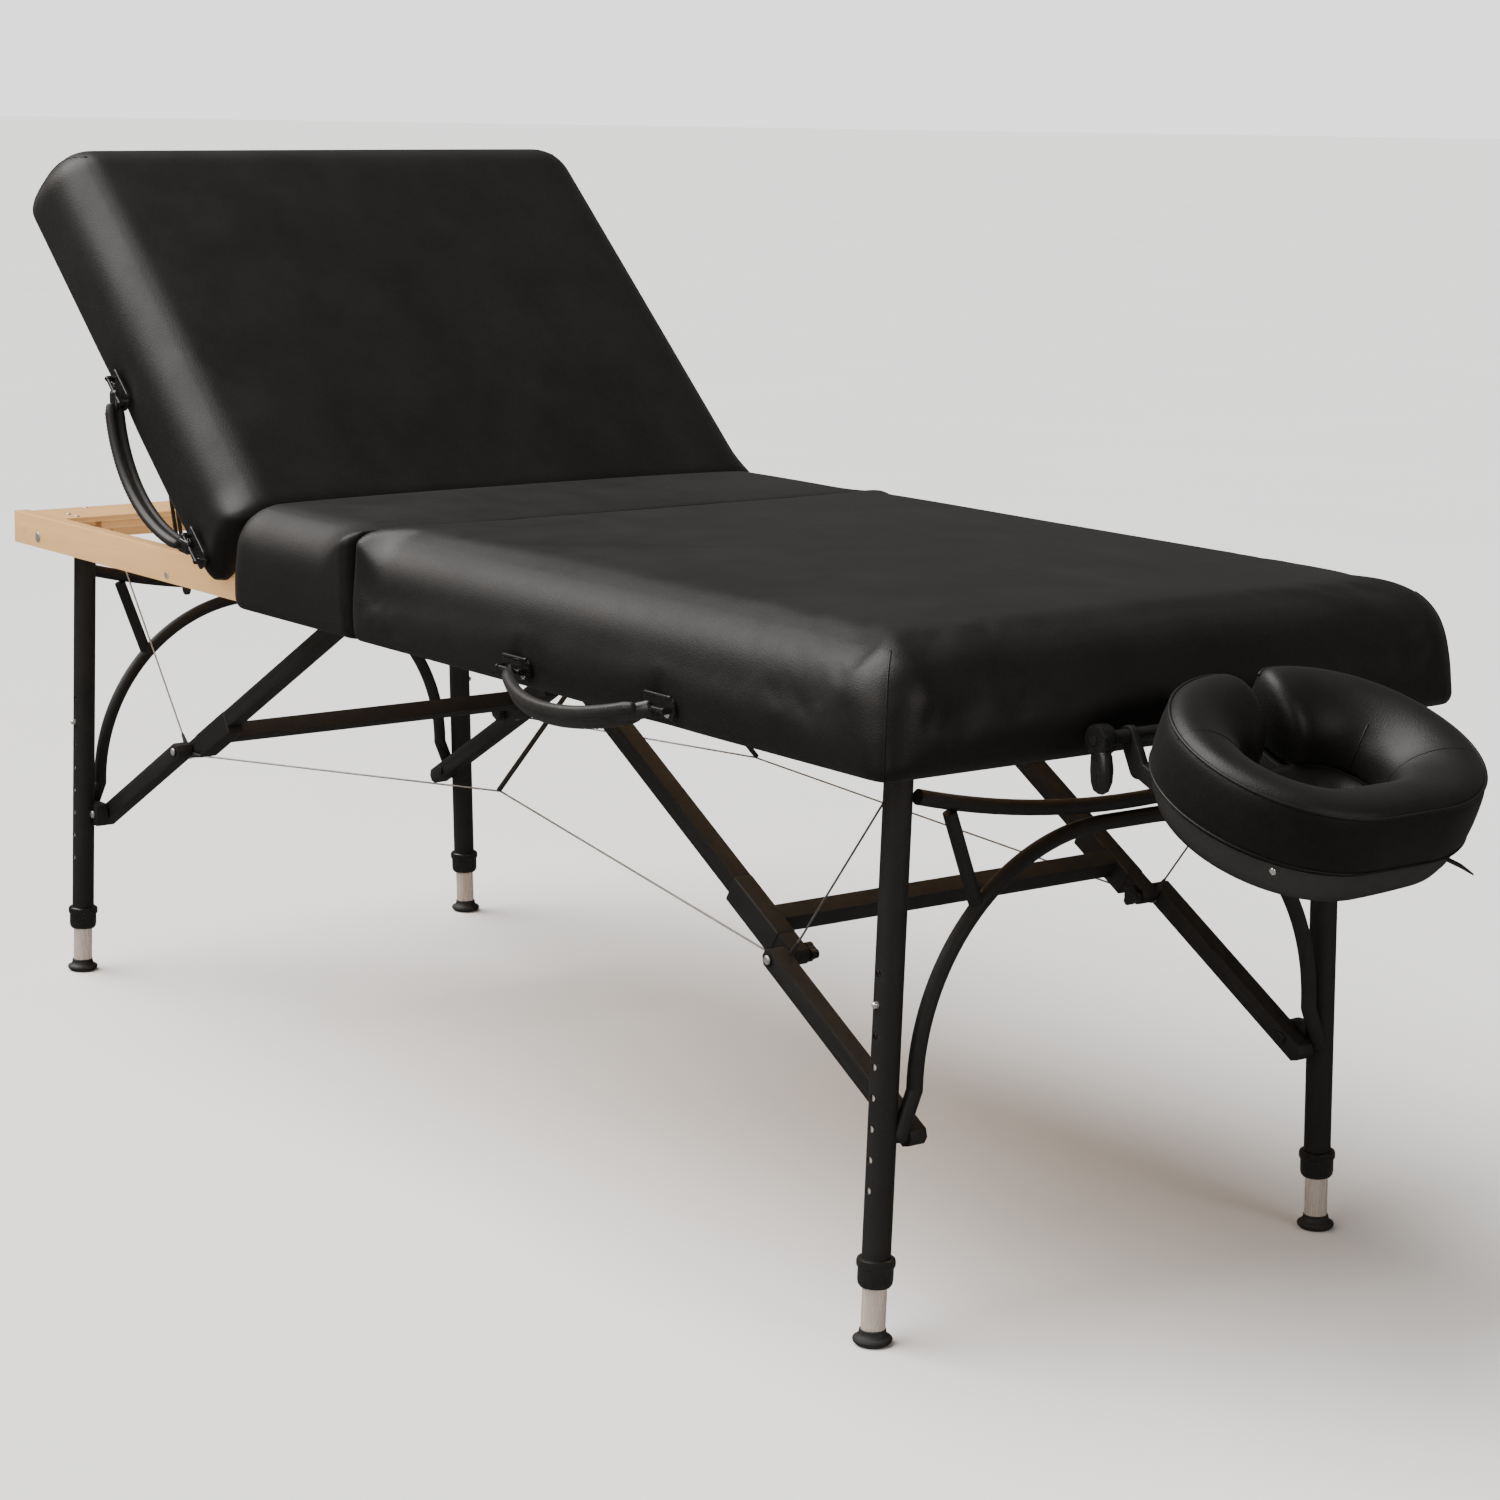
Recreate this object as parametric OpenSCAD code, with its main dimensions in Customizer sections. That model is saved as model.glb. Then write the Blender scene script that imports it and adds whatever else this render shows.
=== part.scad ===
// Portable massage table: two hinged halves on folding braced legs, a lifting backrest and a face cradle.
// X runs along the table to the face cradle, +Y is the far side, Z is up and z = 0 is the floor.
// Parts are drawn about the fold, at x = 0 and y = 0, and placed() then moves them to the row origin.

/* [Table top] */
// Length of the padded top without the face cradle
top_len = 1854; // [1840:2:1870]
// Width of the padded top
top_w = 760; // [756:1:764]
// Height of the padded top above the floor
top_h = 684; // [682:0.5:686]
// Thickness of the padded top, down to the underside of the wood frame
top_t = 120; // [119:0.5:121]
// Length of the fixed padded section behind the fold
short_len = 280; // [278:1:282]
// Angle at which the backrest stands
back_angle = 42; // [38:1:44]

/* [Wood frame] */
// Height of the rails
rail_h = 41; // [40:0.5:42]
// Thickness of the rails
rail_t = 20; // [18:1:20]
// Padding outside the rails
wrap = 33; // [32:0.5:34]
// Thickness of the plywood decks
ply_t = 4; // [3:0.5:4.5]

/* [Legs] */
// Distance of the legs from the fold
leg_x = 832; // [830:1:834]
// Distance of a leg from the centre line at its pivot
leg_y = 281; // [280.5:0.5:281.5]
// How much further out a foot stands than its pivot
splay = 17; // [16:0.5:18]
// Radius of the outer leg tube
leg_r = 14; // [13.8:0.1:14]
// Radius of the sliding inner leg
inner_r = 11.9; // [11.5:0.1:11.9]
// Distance between two height holes
hole_pitch = 30; // [28:1:31]
// Number of height holes
hole_count = 8; // [6:1:8]
// Height of the snap button above the floor
button_z = 332; // [330:1:334]

/* [Braces] */
// Side of the square brace bars
bar = 20; // [18:1:20]
// Distance of the upper braces' pivot from the fold
upper_x = 165; // [163:1:167]
// Height of the lower braces' pivot on the leg
knee_z = 210; // [208:1:212]

/* [Face cradle] */
// Length of the face cushion
face_len = 254; // [250:1:256]
// Width of the face cushion
face_w = 324; // [320:1:326]
// How far the face cushion leans down, away from the table
face_tilt = 22; // [20:0.5:23]

/* [Hidden] */
$fn = 48;
fit = 0.05;
gap = 0.3;
seam = 0.2;
half_len = top_len / 2;
half_w = top_w / 2;
under_z = top_h - top_t;
deck_z = under_z + rail_h;
pad_z = deck_z + ply_t + 0.1;
rail_y = half_w - wrap;
front_rail_x = half_len - 30;
back_rail_x = half_len - 25;
fold_z = under_z - 5;
fold_gap = 1;

leg_z = under_z + 14;
leg_tilt = atan(splay / leg_z);
leg_bore_r = inner_r + gap;
bolt_r = 4;
collar_z = 57;
collar_h = 27;
collar_r = 17;
foot_h = 10;
foot_r = 16.5;
frame_x = leg_x + 10;
frame_r = 8;
button_r = 3.3;

knee_x = leg_x - 14;
upper_z = under_z + 26;
knee_drop = leg_z - knee_z;
brace_len = norm([knee_x - upper_x, upper_z - knee_z]);
brace_angle = atan((upper_z - knee_z) / (knee_x - upper_x));
folded_len = leg_x - knee_drop - upper_x;
upper_len = (brace_len + folded_len) / 2;
lower_len = brace_len - upper_len;
joint_x = upper_x + upper_len * cos(brace_angle);
joint_z = upper_z - upper_len * sin(brace_angle);
upper_bar_y = 225;
lower_bar_y = 248;
pin_r = 3.5;

hinge_x = -short_len - 6;
hinge_y = 232;
knuckle_w = 20;
knuckle_r = 4.6;
hinge_pin_r = 2.5;
handle_x = [340, 590];
handle_z = under_z + 20;
handle_depth = 42;
handle_y = half_w + 10;
handle_drop = 30;
grip_r = 7.5;

prop_x = -480;
prop_z = under_z + 9;
prop_top_u = 344;
prop_top_z = -16;
prop_y = 321.5;

face_x = 1104;
face_z = 604;
face_t = 72;
arm_y = 115;
arm_z = under_z + 21;
arm_r = 6.3;
shaft_x = half_len + 18;
link_y = 96;
lug_y = 105;
pivot_u = 31;
pivot_w = -98;
stay_z = 375;
stay_y = 183;
cable_r = 1;
cable_x = 826;
cable_y = 246.5;

// Middle of the whole table: from the wood frame's end to the face cushion, from the handle to the far side
mid_x = (face_x + face_len / 2 * cos(face_tilt) - back_rail_x) / 2;
mid_y = (half_w - handle_y - handle_depth * cos(handle_drop) - grip_r) / 2;

// ---- placing ----

// From the fold's middle to the row origin, below the middle of the whole table
module placed() {
    translate([-mid_x, -mid_y, 0]) children();
}

// end 1 is the face cradle half and end -1 the backrest half
module at_end(end) {
    placed() mirror([end < 0 ? 1 : 0, 0, 0]) children();
}

// side -1 is the right (near) side, the way it is drawn, and side 1 the left
module at_side(side) {
    mirror([0, side > 0 ? 1 : 0, 0]) children();
}

module both_sides() {
    at_side(-1) children();
    at_side(1) children();
}

// Local frame of the right leg: origin at its pivot, z up along the tube
module along_leg() {
    translate([leg_x, -leg_y, leg_z]) rotate([-leg_tilt, 0, 0]) children();
}

// Drawn lying flat, turned up about the backrest hinge
module lifted() {
    placed()
        translate([hinge_x, 0, deck_z]) rotate([0, back_angle, 0]) translate([-hinge_x, 0, -deck_z])
            children();
}

// Local frame of the face cushion: origin in the middle of its top
module on_face() {
    placed() translate([face_x, 0, face_z]) rotate([0, face_tilt, 0]) children();
}

// ---- shapes ----

// Box from its lowest to its highest corner
module box(low, high) {
    translate(low) cube(high - low);
}

// Cylinder along Y from y0 to y1
module rod_y(x, z, r, y0, y1) {
    translate([x, y1, z]) rotate([90, 0, 0]) cylinder(r = r, h = y1 - y0);
}

module rod_x(y, z, r, x0, x1) {
    translate([x0, y, z]) rotate([0, 90, 0]) cylinder(r = r, h = x1 - x0);
}

// Flat bar with round ends from p to q in the XZ plane, y0 to y1 thick
module link_xz(p, q, w, y0, y1) {
    d = q - p;
    translate([p[0], y1, p[1]]) rotate([0, -atan2(d[1], d[0]), 0]) rotate([90, 0, 0])
        linear_extrude(y1 - y0) {
            translate([0, -w / 2]) square([norm(d), w]);
            circle(d = w);
            translate([norm(d), 0]) circle(d = w);
        }
}

// Square brace bar from p to q in the XZ plane, running on past both ends, which are chamfered
module bar_xz(p, q, before, after, y0, y1) {
    d = q - p;
    h = bar / 2;
    c = 0.3 * bar;
    a = -before;
    b = norm(d) + after;
    translate([p[0], y1, p[1]]) rotate([0, -atan2(d[1], d[0]), 0]) rotate([90, 0, 0])
        linear_extrude(y1 - y0) polygon([
            [a + c, -h], [b - c, -h], [b, c - h], [b, h - c],
            [b - c, h], [a + c, h], [a, h - c], [a, c - h]
        ]);
}

// Thin round rod between two points
module rod(p, q, r) {
    d = q - p;
    translate(p) rotate([0, acos(d[2] / norm(d)), atan2(d[1], d[0])]) cylinder(r = r, h = norm(d));
}

// Pad outline with round ends across the table
module stadium(len, w) {
    r = len / 2;
    side = w / 2 - r;
    translate([0, side]) circle(r);
    translate([0, -side]) circle(r);
    translate([-r, -side]) square([len, 2 * side]);
}

// ---- wood frame and cushions ----

module side_rails(x0, x1) {
    both_sides() box([x0, -rail_y, under_z], [x1, -rail_y + rail_t, deck_z]);
}

module cross_rail(x0, x1, low) {
    inner = rail_y - rail_t - seam;
    box([x0, -inner, low], [x1, inner, deck_z]);
}

// Short cross members between the legs: one carries the leg pivots, the other the upper braces
module leg_members() {
    width = leg_y - leg_r - 5;
    box([leg_x - 10, -width, leg_z + 6], [leg_x + 10, width, deck_z - seam]);
    box([upper_x - 45, -width, under_z + 11], [upper_x - 25, width, deck_z - seam]);
}

module bolt_hole(x, z) {
    rod_y(x, z, bolt_r + fit, -half_w, half_w);
}

module front_frame() {
    color("burlywood") placed() {
        difference() {
            side_rails(fold_gap + 1, front_rail_x);
            bolt_hole(leg_x, leg_z);
        }
        cross_rail(fold_gap + 1, fold_gap + 1 + rail_t, under_z);
        difference() {
            cross_rail(front_rail_x - rail_t, front_rail_x, under_z);
            for (y = [-arm_y, arm_y])
                rod_x(y, arm_z, arm_r + 2.8, half_len - 80, half_len);
        }
        leg_members();
    }
}

// The back frame shows at its end, where a flat board covers it
module back_frame() {
    board_w = 95;
    board_t = 9;
    color("burlywood") at_end(-1) {
        difference() {
            side_rails(fold_gap + 1, back_rail_x);
            bolt_hole(leg_x, leg_z);
            bolt_hole(-prop_x, prop_z);
        }
        cross_rail(fold_gap + 1, fold_gap + 1 + rail_t, under_z);
        difference() {
            cross_rail(back_rail_x - rail_t, back_rail_x, under_z);
            box([0, -half_w, deck_z - board_t - seam], [half_len, half_w, deck_z + 1]);
        }
        cross_rail(back_rail_x - board_w, back_rail_x, deck_z - board_t);
        difference() {
            leg_members();
            box([leg_x - 12, -half_w, deck_z - board_t - seam], [leg_x + 12, half_w, deck_z]);
        }
    }
}

module front_deck_panel() {
    color("tan") placed()
        box([fold_gap + 1, -rail_y, deck_z + 0.05], [front_rail_x, rail_y, deck_z + ply_t]);
}

module back_deck_panel() {
    color("tan") at_end(-1)
        box([fold_gap + 1, -rail_y, deck_z + 0.05], [short_len, rail_y, deck_z + ply_t]);
}

// Padding that hangs down outside the side rails
module side_padding(x0, x1) {
    both_sides() box([x0, -half_w, under_z], [x1, -rail_y - 3, pad_z - seam]);
}

module front_cushion() {
    color("#1a1816") placed() difference() {
        union() {
            box([fold_gap, -half_w, pad_z], [half_len, half_w, top_h]);
            side_padding(fold_gap, half_len);
            box([front_rail_x + 1, -rail_y - 2.8, under_z], [half_len, rail_y + 2.8, pad_z - seam]);
        }
        for (y = [-arm_y, arm_y])
            rod_x(y, arm_z, arm_r + 2.8, half_len - 80, half_len + 1);
    }
}

// The rear top edge is cut away so that the raised backrest clears it
module back_cushion() {
    slope = 40;
    color("#1a1816") at_end(-1) {
        translate([0, half_w, 0]) rotate([90, 0, 0]) linear_extrude(top_w) polygon([
            [fold_gap, pad_z],
            [short_len, pad_z],
            [short_len, top_h - slope],
            [short_len - slope, top_h],
            [fold_gap, top_h]
        ]);
        side_padding(fold_gap, short_len);
    }
}

module backrest_board() {
    color("tan") lifted()
        box([-back_rail_x, -rail_y, deck_z + 0.1], [hinge_x - 6, rail_y, deck_z + ply_t]);
}

module backrest_cushion() {
    slope = 20;
    front = hinge_x - 6;
    end = -half_len;
    color("#1a1816") lifted() {
        translate([0, half_w, 0]) rotate([90, 0, 0]) linear_extrude(top_w) polygon([
            [front, pad_z],
            [front - slope, pad_z + slope],
            [front - slope, top_h],
            [end, top_h],
            [end, pad_z]
        ]);
        both_sides() box([end, -half_w, under_z], [hinge_x - 12, -rail_y - 3, pad_z - seam]);
        box([end, -rail_y - 2.8, under_z], [end + 21, rail_y + 2.8, pad_z - seam]);
    }
}

// ---- hinges ----

// One leaf under the fold, with two outer knuckles or the single inner one
module fold_leaf(outer) {
    half = knuckle_w * 1.5;
    spans = outer ? [[-half, -knuckle_w / 2 - gap], [knuckle_w / 2 + gap, half]]
        : [[-knuckle_w / 2, knuckle_w / 2]];
    both_sides() translate([0, -hinge_y, 0]) difference() {
        union() {
            box([knuckle_r + 0.5, -half, under_z - 2.4], [rail_t + 1, half, under_z - 0.1]);
            for (s = spans) {
                rod_y(0, fold_z, knuckle_r, s[0], s[1]);
                box([0, s[0], fold_z + knuckle_r - 2.2], [knuckle_r + 0.6, s[1], fold_z + knuckle_r]);
            }
        }
        rod_y(0, fold_z, hinge_pin_r + fit, -half - 1, half + 1);
    }
}

module front_hinge_leaves() {
    color("silver") placed() fold_leaf(true);
}

module back_hinge_leaves() {
    color("silver") at_end(-1) fold_leaf(false);
}

module fold_hinge_pin() {
    color("silver") placed() rod_y(0, fold_z, hinge_pin_r, -hinge_y - 32, hinge_y + 32);
}

// A flat hanger on the hinge pin with the two slanted stays that hold the cables apart
module fold_stays() {
    color("#202020") placed() {
        difference() {
            box([-3, -45, fold_z - 16], [3, 45, fold_z + 3.5]);
            rod_y(0, fold_z, hinge_pin_r + fit, -46, 46);
        }
        both_sides() rod([0, -32, fold_z - 16.2], [0, -stay_y, stay_z], 3);
    }
}

// Leaf between the fixed panel's rear edge or the backrest's board and the backrest's hinge pin
module backrest_leaf(toward, outer) {
    half = knuckle_w * 1.5;
    spans = outer ? [[-half, -knuckle_w / 2 - gap], [knuckle_w / 2 + gap, half]]
        : [[-knuckle_w / 2, knuckle_w / 2]];
    both_sides() translate([hinge_x, -130, deck_z]) difference() {
        mirror([toward > 0 ? 0 : 1, 0, 0]) union() {
            box([6.3, -half, -2.4], [30, half, -0.1]);
            for (s = spans) {
                rod_y(0, 0, 4, s[0], s[1]);
                box([0, s[0], -2.4], [6.4, s[1], -0.1]);
            }
        }
        rod_y(0, 0, hinge_pin_r + fit, -half - 1, half + 1);
    }
}

module backrest_hinge_pins() {
    color("silver") placed() {
        backrest_leaf(1, true);
        both_sides() rod_y(hinge_x, deck_z, hinge_pin_r, -130 - 34, -130 + 34);
    }
}

module backrest_hinge_leaves() {
    color("silver") lifted() {
        backrest_leaf(-1, false);
        prop_ears();
    }
}

// Ears under the board that the two prop bars swing on, each with its bolt
module prop_ears() {
    u = hinge_x - prop_top_u;
    z = deck_z + prop_top_z;
    both_sides() {
        box([u - 12, -prop_y + 1, z - 8], [u + 12, -prop_y + 6, deck_z - 0.1]);
        rod_y(u, z, pin_r, -prop_y - 5, -prop_y + 1);
    }
}

// Slotted steel bars from the backrest to the side rails
module backrest_props() {
    a = back_angle;
    u = -prop_top_u * cos(a) + prop_top_z * sin(a);
    w = prop_top_u * sin(a) + prop_top_z * cos(a);
    top = [hinge_x + u, deck_z + w];
    foot = [prop_x, prop_z];
    run = foot - top;
    dir = run / norm(run);
    color("#303030") placed() both_sides() difference() {
        link_xz(top, top + dir * 278, 16, -prop_y - 4, -prop_y);
        rod_y(top[0], top[1], pin_r + fit, -prop_y - 5, -prop_y + 1);
        link_xz(top + dir * 145, foot, 8.6, -prop_y - 5, -prop_y + 1);
    }
}

// ---- bolts, handles and sockets on the table ----

// Leg pivot bolts through the rails, and the brackets and bolts of the upper braces
module pivot_bolts() {
    both_sides() {
        rod_y(leg_x, leg_z, bolt_r, -rail_y - 1.5, -leg_y + leg_r + 5);
        upper_bracket();
    }
}

module upper_bracket() {
    y0 = -upper_bar_y - bar;
    low = upper_z - 12;
    high = deck_z - 0.5;
    back = upper_x - 24.8;
    for (y = [y0 - gap - 1.5, y0 + bar + gap])
        box([back, y, low], [upper_x + 10, y + 1.5, high]);
    box([back - 0.01, y0 - gap - 1.5, low], [back + 1.5, y0 + bar + gap + 1.5, high]);
    rod_y(upper_x, upper_z, pin_r, y0 - gap - 4, y0 + bar + gap + 4);
}

module front_pivot_bolts() {
    color("silver") placed() pivot_bolts();
}

module back_pivot_bolts() {
    color("silver") at_end(-1) {
        pivot_bolts();
        both_sides() rod_y(-prop_x, prop_z, bolt_r, -rail_y - 1.5, -rail_y + rail_t - 0.2);
    }
}

// Two bracket plates with ears and a pin, for the carrying handle on the right side
module handle_brackets() {
    for (x = handle_x) {
        box([x - 24, -half_w - 2.5, handle_z - 10], [x + 24, -half_w, handle_z + 10]);
        for (s = [-1, 1])
            handle_ear([x + s * 20 - 1.5, x + s * 20 + 1.5]);
        rod_x(-handle_y, handle_z, hinge_pin_r, x - 21.5, x + 21.5);
    }
}

module handle_ear(span) {
    r = 3.4;
    rod_x(-handle_y, handle_z, r, span[0], span[1]);
    box([span[0], -handle_y, handle_z - r], [span[1], -half_w - 2.4, handle_z + r]);
}

module front_handle_brackets() {
    color("silver") placed() handle_brackets();
}

module backrest_handle_brackets() {
    color("silver") lifted() mirror([1, 0, 0]) handle_brackets();
}

// Bent handle: two eyes round the bracket pins and a padded arc between them
module handle(angle) {
    chord = handle_x[1] - handle_x[0];
    r = (chord * chord / 4 + handle_depth * handle_depth) / (2 * handle_depth);
    half_angle = asin(chord / 2 / r);
    mid = (handle_x[0] + handle_x[1]) / 2;
    eye = 15;
    difference() {
        intersection() {
            union() {
                translate([mid, -handle_y, handle_z]) rotate([angle, 0, 0])
                    translate([0, 0, r - handle_depth]) rotate([90, 0, 0])
                        rotate([0, 0, -90 - half_angle]) rotate_extrude(angle = 2 * half_angle)
                            translate([r, 0]) circle(grip_r);
                for (x = handle_x)
                    rod_x(-handle_y, handle_z, 7, x - eye, x + eye);
            }
            box([handle_x[0] - eye, -half_w - 90, handle_z - 90], [handle_x[1] + eye, 0, handle_z + 90]);
        }
        for (x = handle_x)
            rod_x(-handle_y, handle_z, hinge_pin_r + fit, x - 30, x + 30);
    }
}

module front_handle() {
    color("#141414") placed() handle(handle_drop - 90);
}

module back_handle() {
    color("#141414") lifted() mirror([1, 0, 0]) handle(-8);
}

module cradle_sockets() {
    color("silver") placed() difference() {
        for (y = [-arm_y, arm_y]) {
            rod_x(y, arm_z, arm_r + 2.7, half_len - 69, half_len + 0.5);
            rod_x(y, arm_z, 13, half_len + 0.1, half_len + 2.2);
        }
        for (y = [-arm_y, arm_y])
            rod_x(y, arm_z, arm_r + gap, half_len - 80, half_len + 5);
    }
}

// ---- legs ----

module outer_tube() {
    top = 10;
    bottom = -(leg_z - collar_z - collar_h + 6);
    difference() {
        along_leg() difference() {
            translate([0, 0, bottom]) cylinder(r = leg_r, h = top - bottom);
            translate([0, 0, bottom - 1]) cylinder(r = leg_bore_r, h = top - bottom + 2);
            for (i = [-1 : hole_count - 2])
                rod_y(0, button_z - leg_z - i * hole_pitch, button_r + 0.2, -leg_r - 1, 0);
        }
        rod_y(leg_x, leg_z, bolt_r + fit, -half_w, 0);
    }
}

module collar() {
    high = -(leg_z - collar_z - collar_h);
    along_leg() difference() {
        translate([0, 0, high - collar_h]) cylinder(r = collar_r, h = collar_h);
        translate([0, 0, high - collar_h - 1]) cylinder(r = leg_bore_r, h = collar_h + 2);
        translate([0, 0, high - 6.1]) cylinder(r = leg_r + 0.1, h = 10);
    }
}

// Bent tubes between the two legs: a bow, an arch below it and two struts
module leg_arch() {
    arc_r = 230;
    arc_y = 32;
    arc_z = 246;
    bow_sag = 34;
    bow_half = leg_y - leg_r;
    bow_r = (bow_half * bow_half + bow_sag * bow_sag) / (2 * bow_sag);
    bow_angle = asin(bow_half / bow_r);
    bow_z = 494;
    side = arc_y + arc_r;
    difference() {
        union() {
            both_sides() translate([frame_x, -arc_y, arc_z]) rotate([90, 0, -90])
                rotate_extrude(angle = 90) translate([arc_r, 0]) circle(frame_r);
            translate([frame_x, arc_y, arc_z + arc_r]) rotate([90, 0, 0])
                cylinder(r = frame_r, h = 2 * arc_y);
            both_sides() {
                translate([frame_x, -side, arc_z]) sphere(frame_r);
                rod([frame_x, -side, arc_z], [frame_x, -side - 17, arc_z - 41], frame_r);
                translate([frame_x, -side - 17, arc_z - 41]) sphere(frame_r);
                rod([frame_x, -228, 509], [frame_x, -191, 412], frame_r - 1);
            }
        }
        leg_clearance();
    }
    difference() {
        translate([frame_x, 0, bow_z + bow_r]) rotate([90, 0, 90])
            rotate([0, 0, -90 - bow_angle]) rotate_extrude(angle = 2 * bow_angle)
                translate([bow_r, 0]) circle(frame_r - 0.3);
        leg_clearance();
    }
}

module leg_clearance() {
    both_sides() along_leg() translate([0, 0, -leg_z]) cylinder(r = leg_r + 0.1, h = leg_z + 20);
}

// Lug on the leg with the bolt that the lower brace turns on
module knee_bracket() {
    y = lower_bar_y + bar;
    difference() {
        box([knee_x - 12, -leg_y - 5, knee_z - 14], [leg_x, -y - 1.2, knee_z + 14]);
        leg_clearance();
    }
    rod_y(knee_x, knee_z, pin_r, -y - 1.3, -lower_bar_y + 1);
    rod_y(knee_x, knee_z, 6, -lower_bar_y + gap, -lower_bar_y + 2.4);
}

module inner_leg() {
    top = -(leg_z - button_z) + 205;
    slot_low = -(leg_z - button_z) - 36;
    slot_high = -(leg_z - button_z) + 186;
    slot_w = 2 * button_r + 1;
    difference() {
        along_leg() difference() {
            translate([0, 0, -leg_z - 5]) cylinder(r = inner_r, h = top + leg_z + 5);
            translate([0, 0, -leg_z - 6]) cylinder(r = inner_r - 1.6, h = top + leg_z + 7);
            box([-slot_w / 2, -inner_r - 1, slot_low], [slot_w / 2, 0, slot_high]);
        }
        box([0, -half_w, -20], [half_len, 0, foot_h + 0.1]);
    }
}

module foot() {
    y = -leg_y - splay;
    color("#151515") translate([leg_x, y, 0]) {
        cylinder(r = foot_r, h = foot_h - 3);
        translate([0, 0, foot_h - 3]) cylinder(r = foot_r - 1.5, h = 3);
    }
}

// Domed button on a leaf spring inside the inner leg
module button() {
    z = button_z - leg_z;
    along_leg() {
        rod_y(0, z, button_r, -leg_r - 2, -inner_r + 3.6);
        translate([0, -leg_r - 2, z]) difference() {
            sphere(button_r);
            box([-5, 0, -5], [5, 5, 5]);
        }
        box([-3, -inner_r + 3.4, z - 22], [3, -inner_r + 4.4, z + 8]);
    }
}

// ---- braces ----

// Two bars, tied near the knee joint, that swing under the table
module upper_braces() {
    start = [upper_x, upper_z];
    stop = [joint_x, joint_z];
    both_sides() difference() {
        bar_xz(start, stop, 10, 10, -upper_bar_y - bar, -upper_bar_y);
        rod_y(upper_x, upper_z, pin_r + fit, -half_w, 0);
        rod_y(joint_x, joint_z, pin_r + fit, -half_w, 0);
    }
    inner = upper_bar_y - seam;
    tie = upper_len - 62;
    translate([upper_x, 0, upper_z]) rotate([0, brace_angle, 0])
        box([tie, -inner, -bar / 2], [tie + bar, inner, bar / 2]);
}

// Bars from the legs to the knee joints, with the knee joints' bolts
module lower_braces() {
    start = [knee_x, knee_z];
    stop = [joint_x, joint_z];
    both_sides() {
        difference() {
            bar_xz(start, stop, 30, 10, -lower_bar_y - bar, -lower_bar_y);
            rod_y(knee_x, knee_z, pin_r + fit, -half_w, 0);
        }
        rod_y(joint_x, joint_z, 6, -lower_bar_y - bar - 2, -lower_bar_y - bar);
    }
}

// Three-lobed hand knob on a stud through the upper brace
module knob() {
    face = -upper_bar_y + 1;
    rod_y(joint_x, joint_z, 7, face, face + 3);
    translate([joint_x, face + 3, joint_z]) rotate([-90, 0, 0]) {
        cylinder(r = 7.5, h = 8);
        for (a = [0, 120, 240])
            rotate([0, 0, a]) translate([6, 0, 0]) cylinder(r = 5, h = 8);
    }
    rod_y(joint_x, joint_z, pin_r, -upper_bar_y - bar - 2, face + 1);
}

// ---- cables ----

// Steel cable of each side, from one end of the table over the knee joints and the stay to the other
module side_cables() {
    color("silver") placed() both_sides() for (end = [-1, 1]) {
        knee = [end * joint_x, -cable_y, joint_z - 16];
        rod_y(knee[0], knee[2], 3, -cable_y - 2.5, -cable_y + 2.5);
        taut_cable(knee, [end * cable_x, -cable_y, leg_z + 4]);
        taut_cable(knee, [end * 4.5, -stay_y + 3, stay_z - 1]);
    }
}

// From just outside the eye at a knee joint to where the cable is held
module taut_cable(knee, held) {
    d = held - knee;
    rod(knee + d / norm(d) * 3.2, held, cable_r);
}

// ---- face cradle ----

module cradle_arms() {
    color("#202020") placed() {
        for (y = [-arm_y, arm_y])
            rod_x(y, arm_z, arm_r, half_len - 79, shaft_x);
        rod_y(shaft_x, arm_z, 7, -127, 127);
        rod_y(shaft_x, arm_z, 4, -146, -126);
    }
}

// Cranked side links from the arms' shaft to the platform's pivot
module cradle_links() {
    shaft = [shaft_x - face_x, arm_z - face_z];
    near = [
        shaft[0] * cos(face_tilt) - shaft[1] * sin(face_tilt),
        shaft[0] * sin(face_tilt) + shaft[1] * cos(face_tilt)
    ];
    crank = [near[0] + 24, pivot_w];
    color("#242424") on_face() {
        both_sides() difference() {
            union() {
                link_xz(near, crank, 20, -link_y - 8, -link_y);
                link_xz(crank, [pivot_u, pivot_w], 16, -link_y - 8, -link_y);
            }
            rod_y(near[0], near[1], 7 + fit, -half_w, 0);
        }
        both_sides() rod_y(pivot_u, pivot_w, 4.5, -lug_y - 9, -link_y - 7);
    }
}

// Cam lever that clamps the arms' shaft
module cradle_lever() {
    color("#1c1c1c") placed() difference() {
        union() {
            rod_y(shaft_x, arm_z, 13, -142, -128);
            link_xz([shaft_x, arm_z], [shaft_x + 5, arm_z - 38], 19, -142, -130);
        }
        rod_y(shaft_x, arm_z, 4 + fit, -150, -120);
    }
}

// Outline of a horseshoe pad, open towards the table
module horseshoe(shrink, grow) {
    slot = 24 + grow;
    difference() {
        stadium(face_len - shrink, face_w - shrink);
        stadium(108 + grow, 176 + grow);
        translate([-face_len, -slot / 2]) square([face_len, slot]);
    }
}

module cradle_platform() {
    top = -face_t - 0.5;
    t = 10;
    color("#1e1e1e") on_face() {
        translate([0, 0, top - t]) linear_extrude(t) horseshoe(36, 4);
        both_sides() difference() {
            box([pivot_u - 9, -lug_y - 7, pivot_w - 8], [pivot_u + 9, -lug_y, top - t + 0.1]);
            rod_y(pivot_u, pivot_w, 4.5 + fit, -half_w, 0);
        }
    }
}

module face_cushion() {
    color("#1a1816") on_face() translate([0, 0, -face_t]) linear_extrude(face_t) horseshoe(0, 0);
}

// ---- the same leg parts at both ends and on both sides ----

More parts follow.
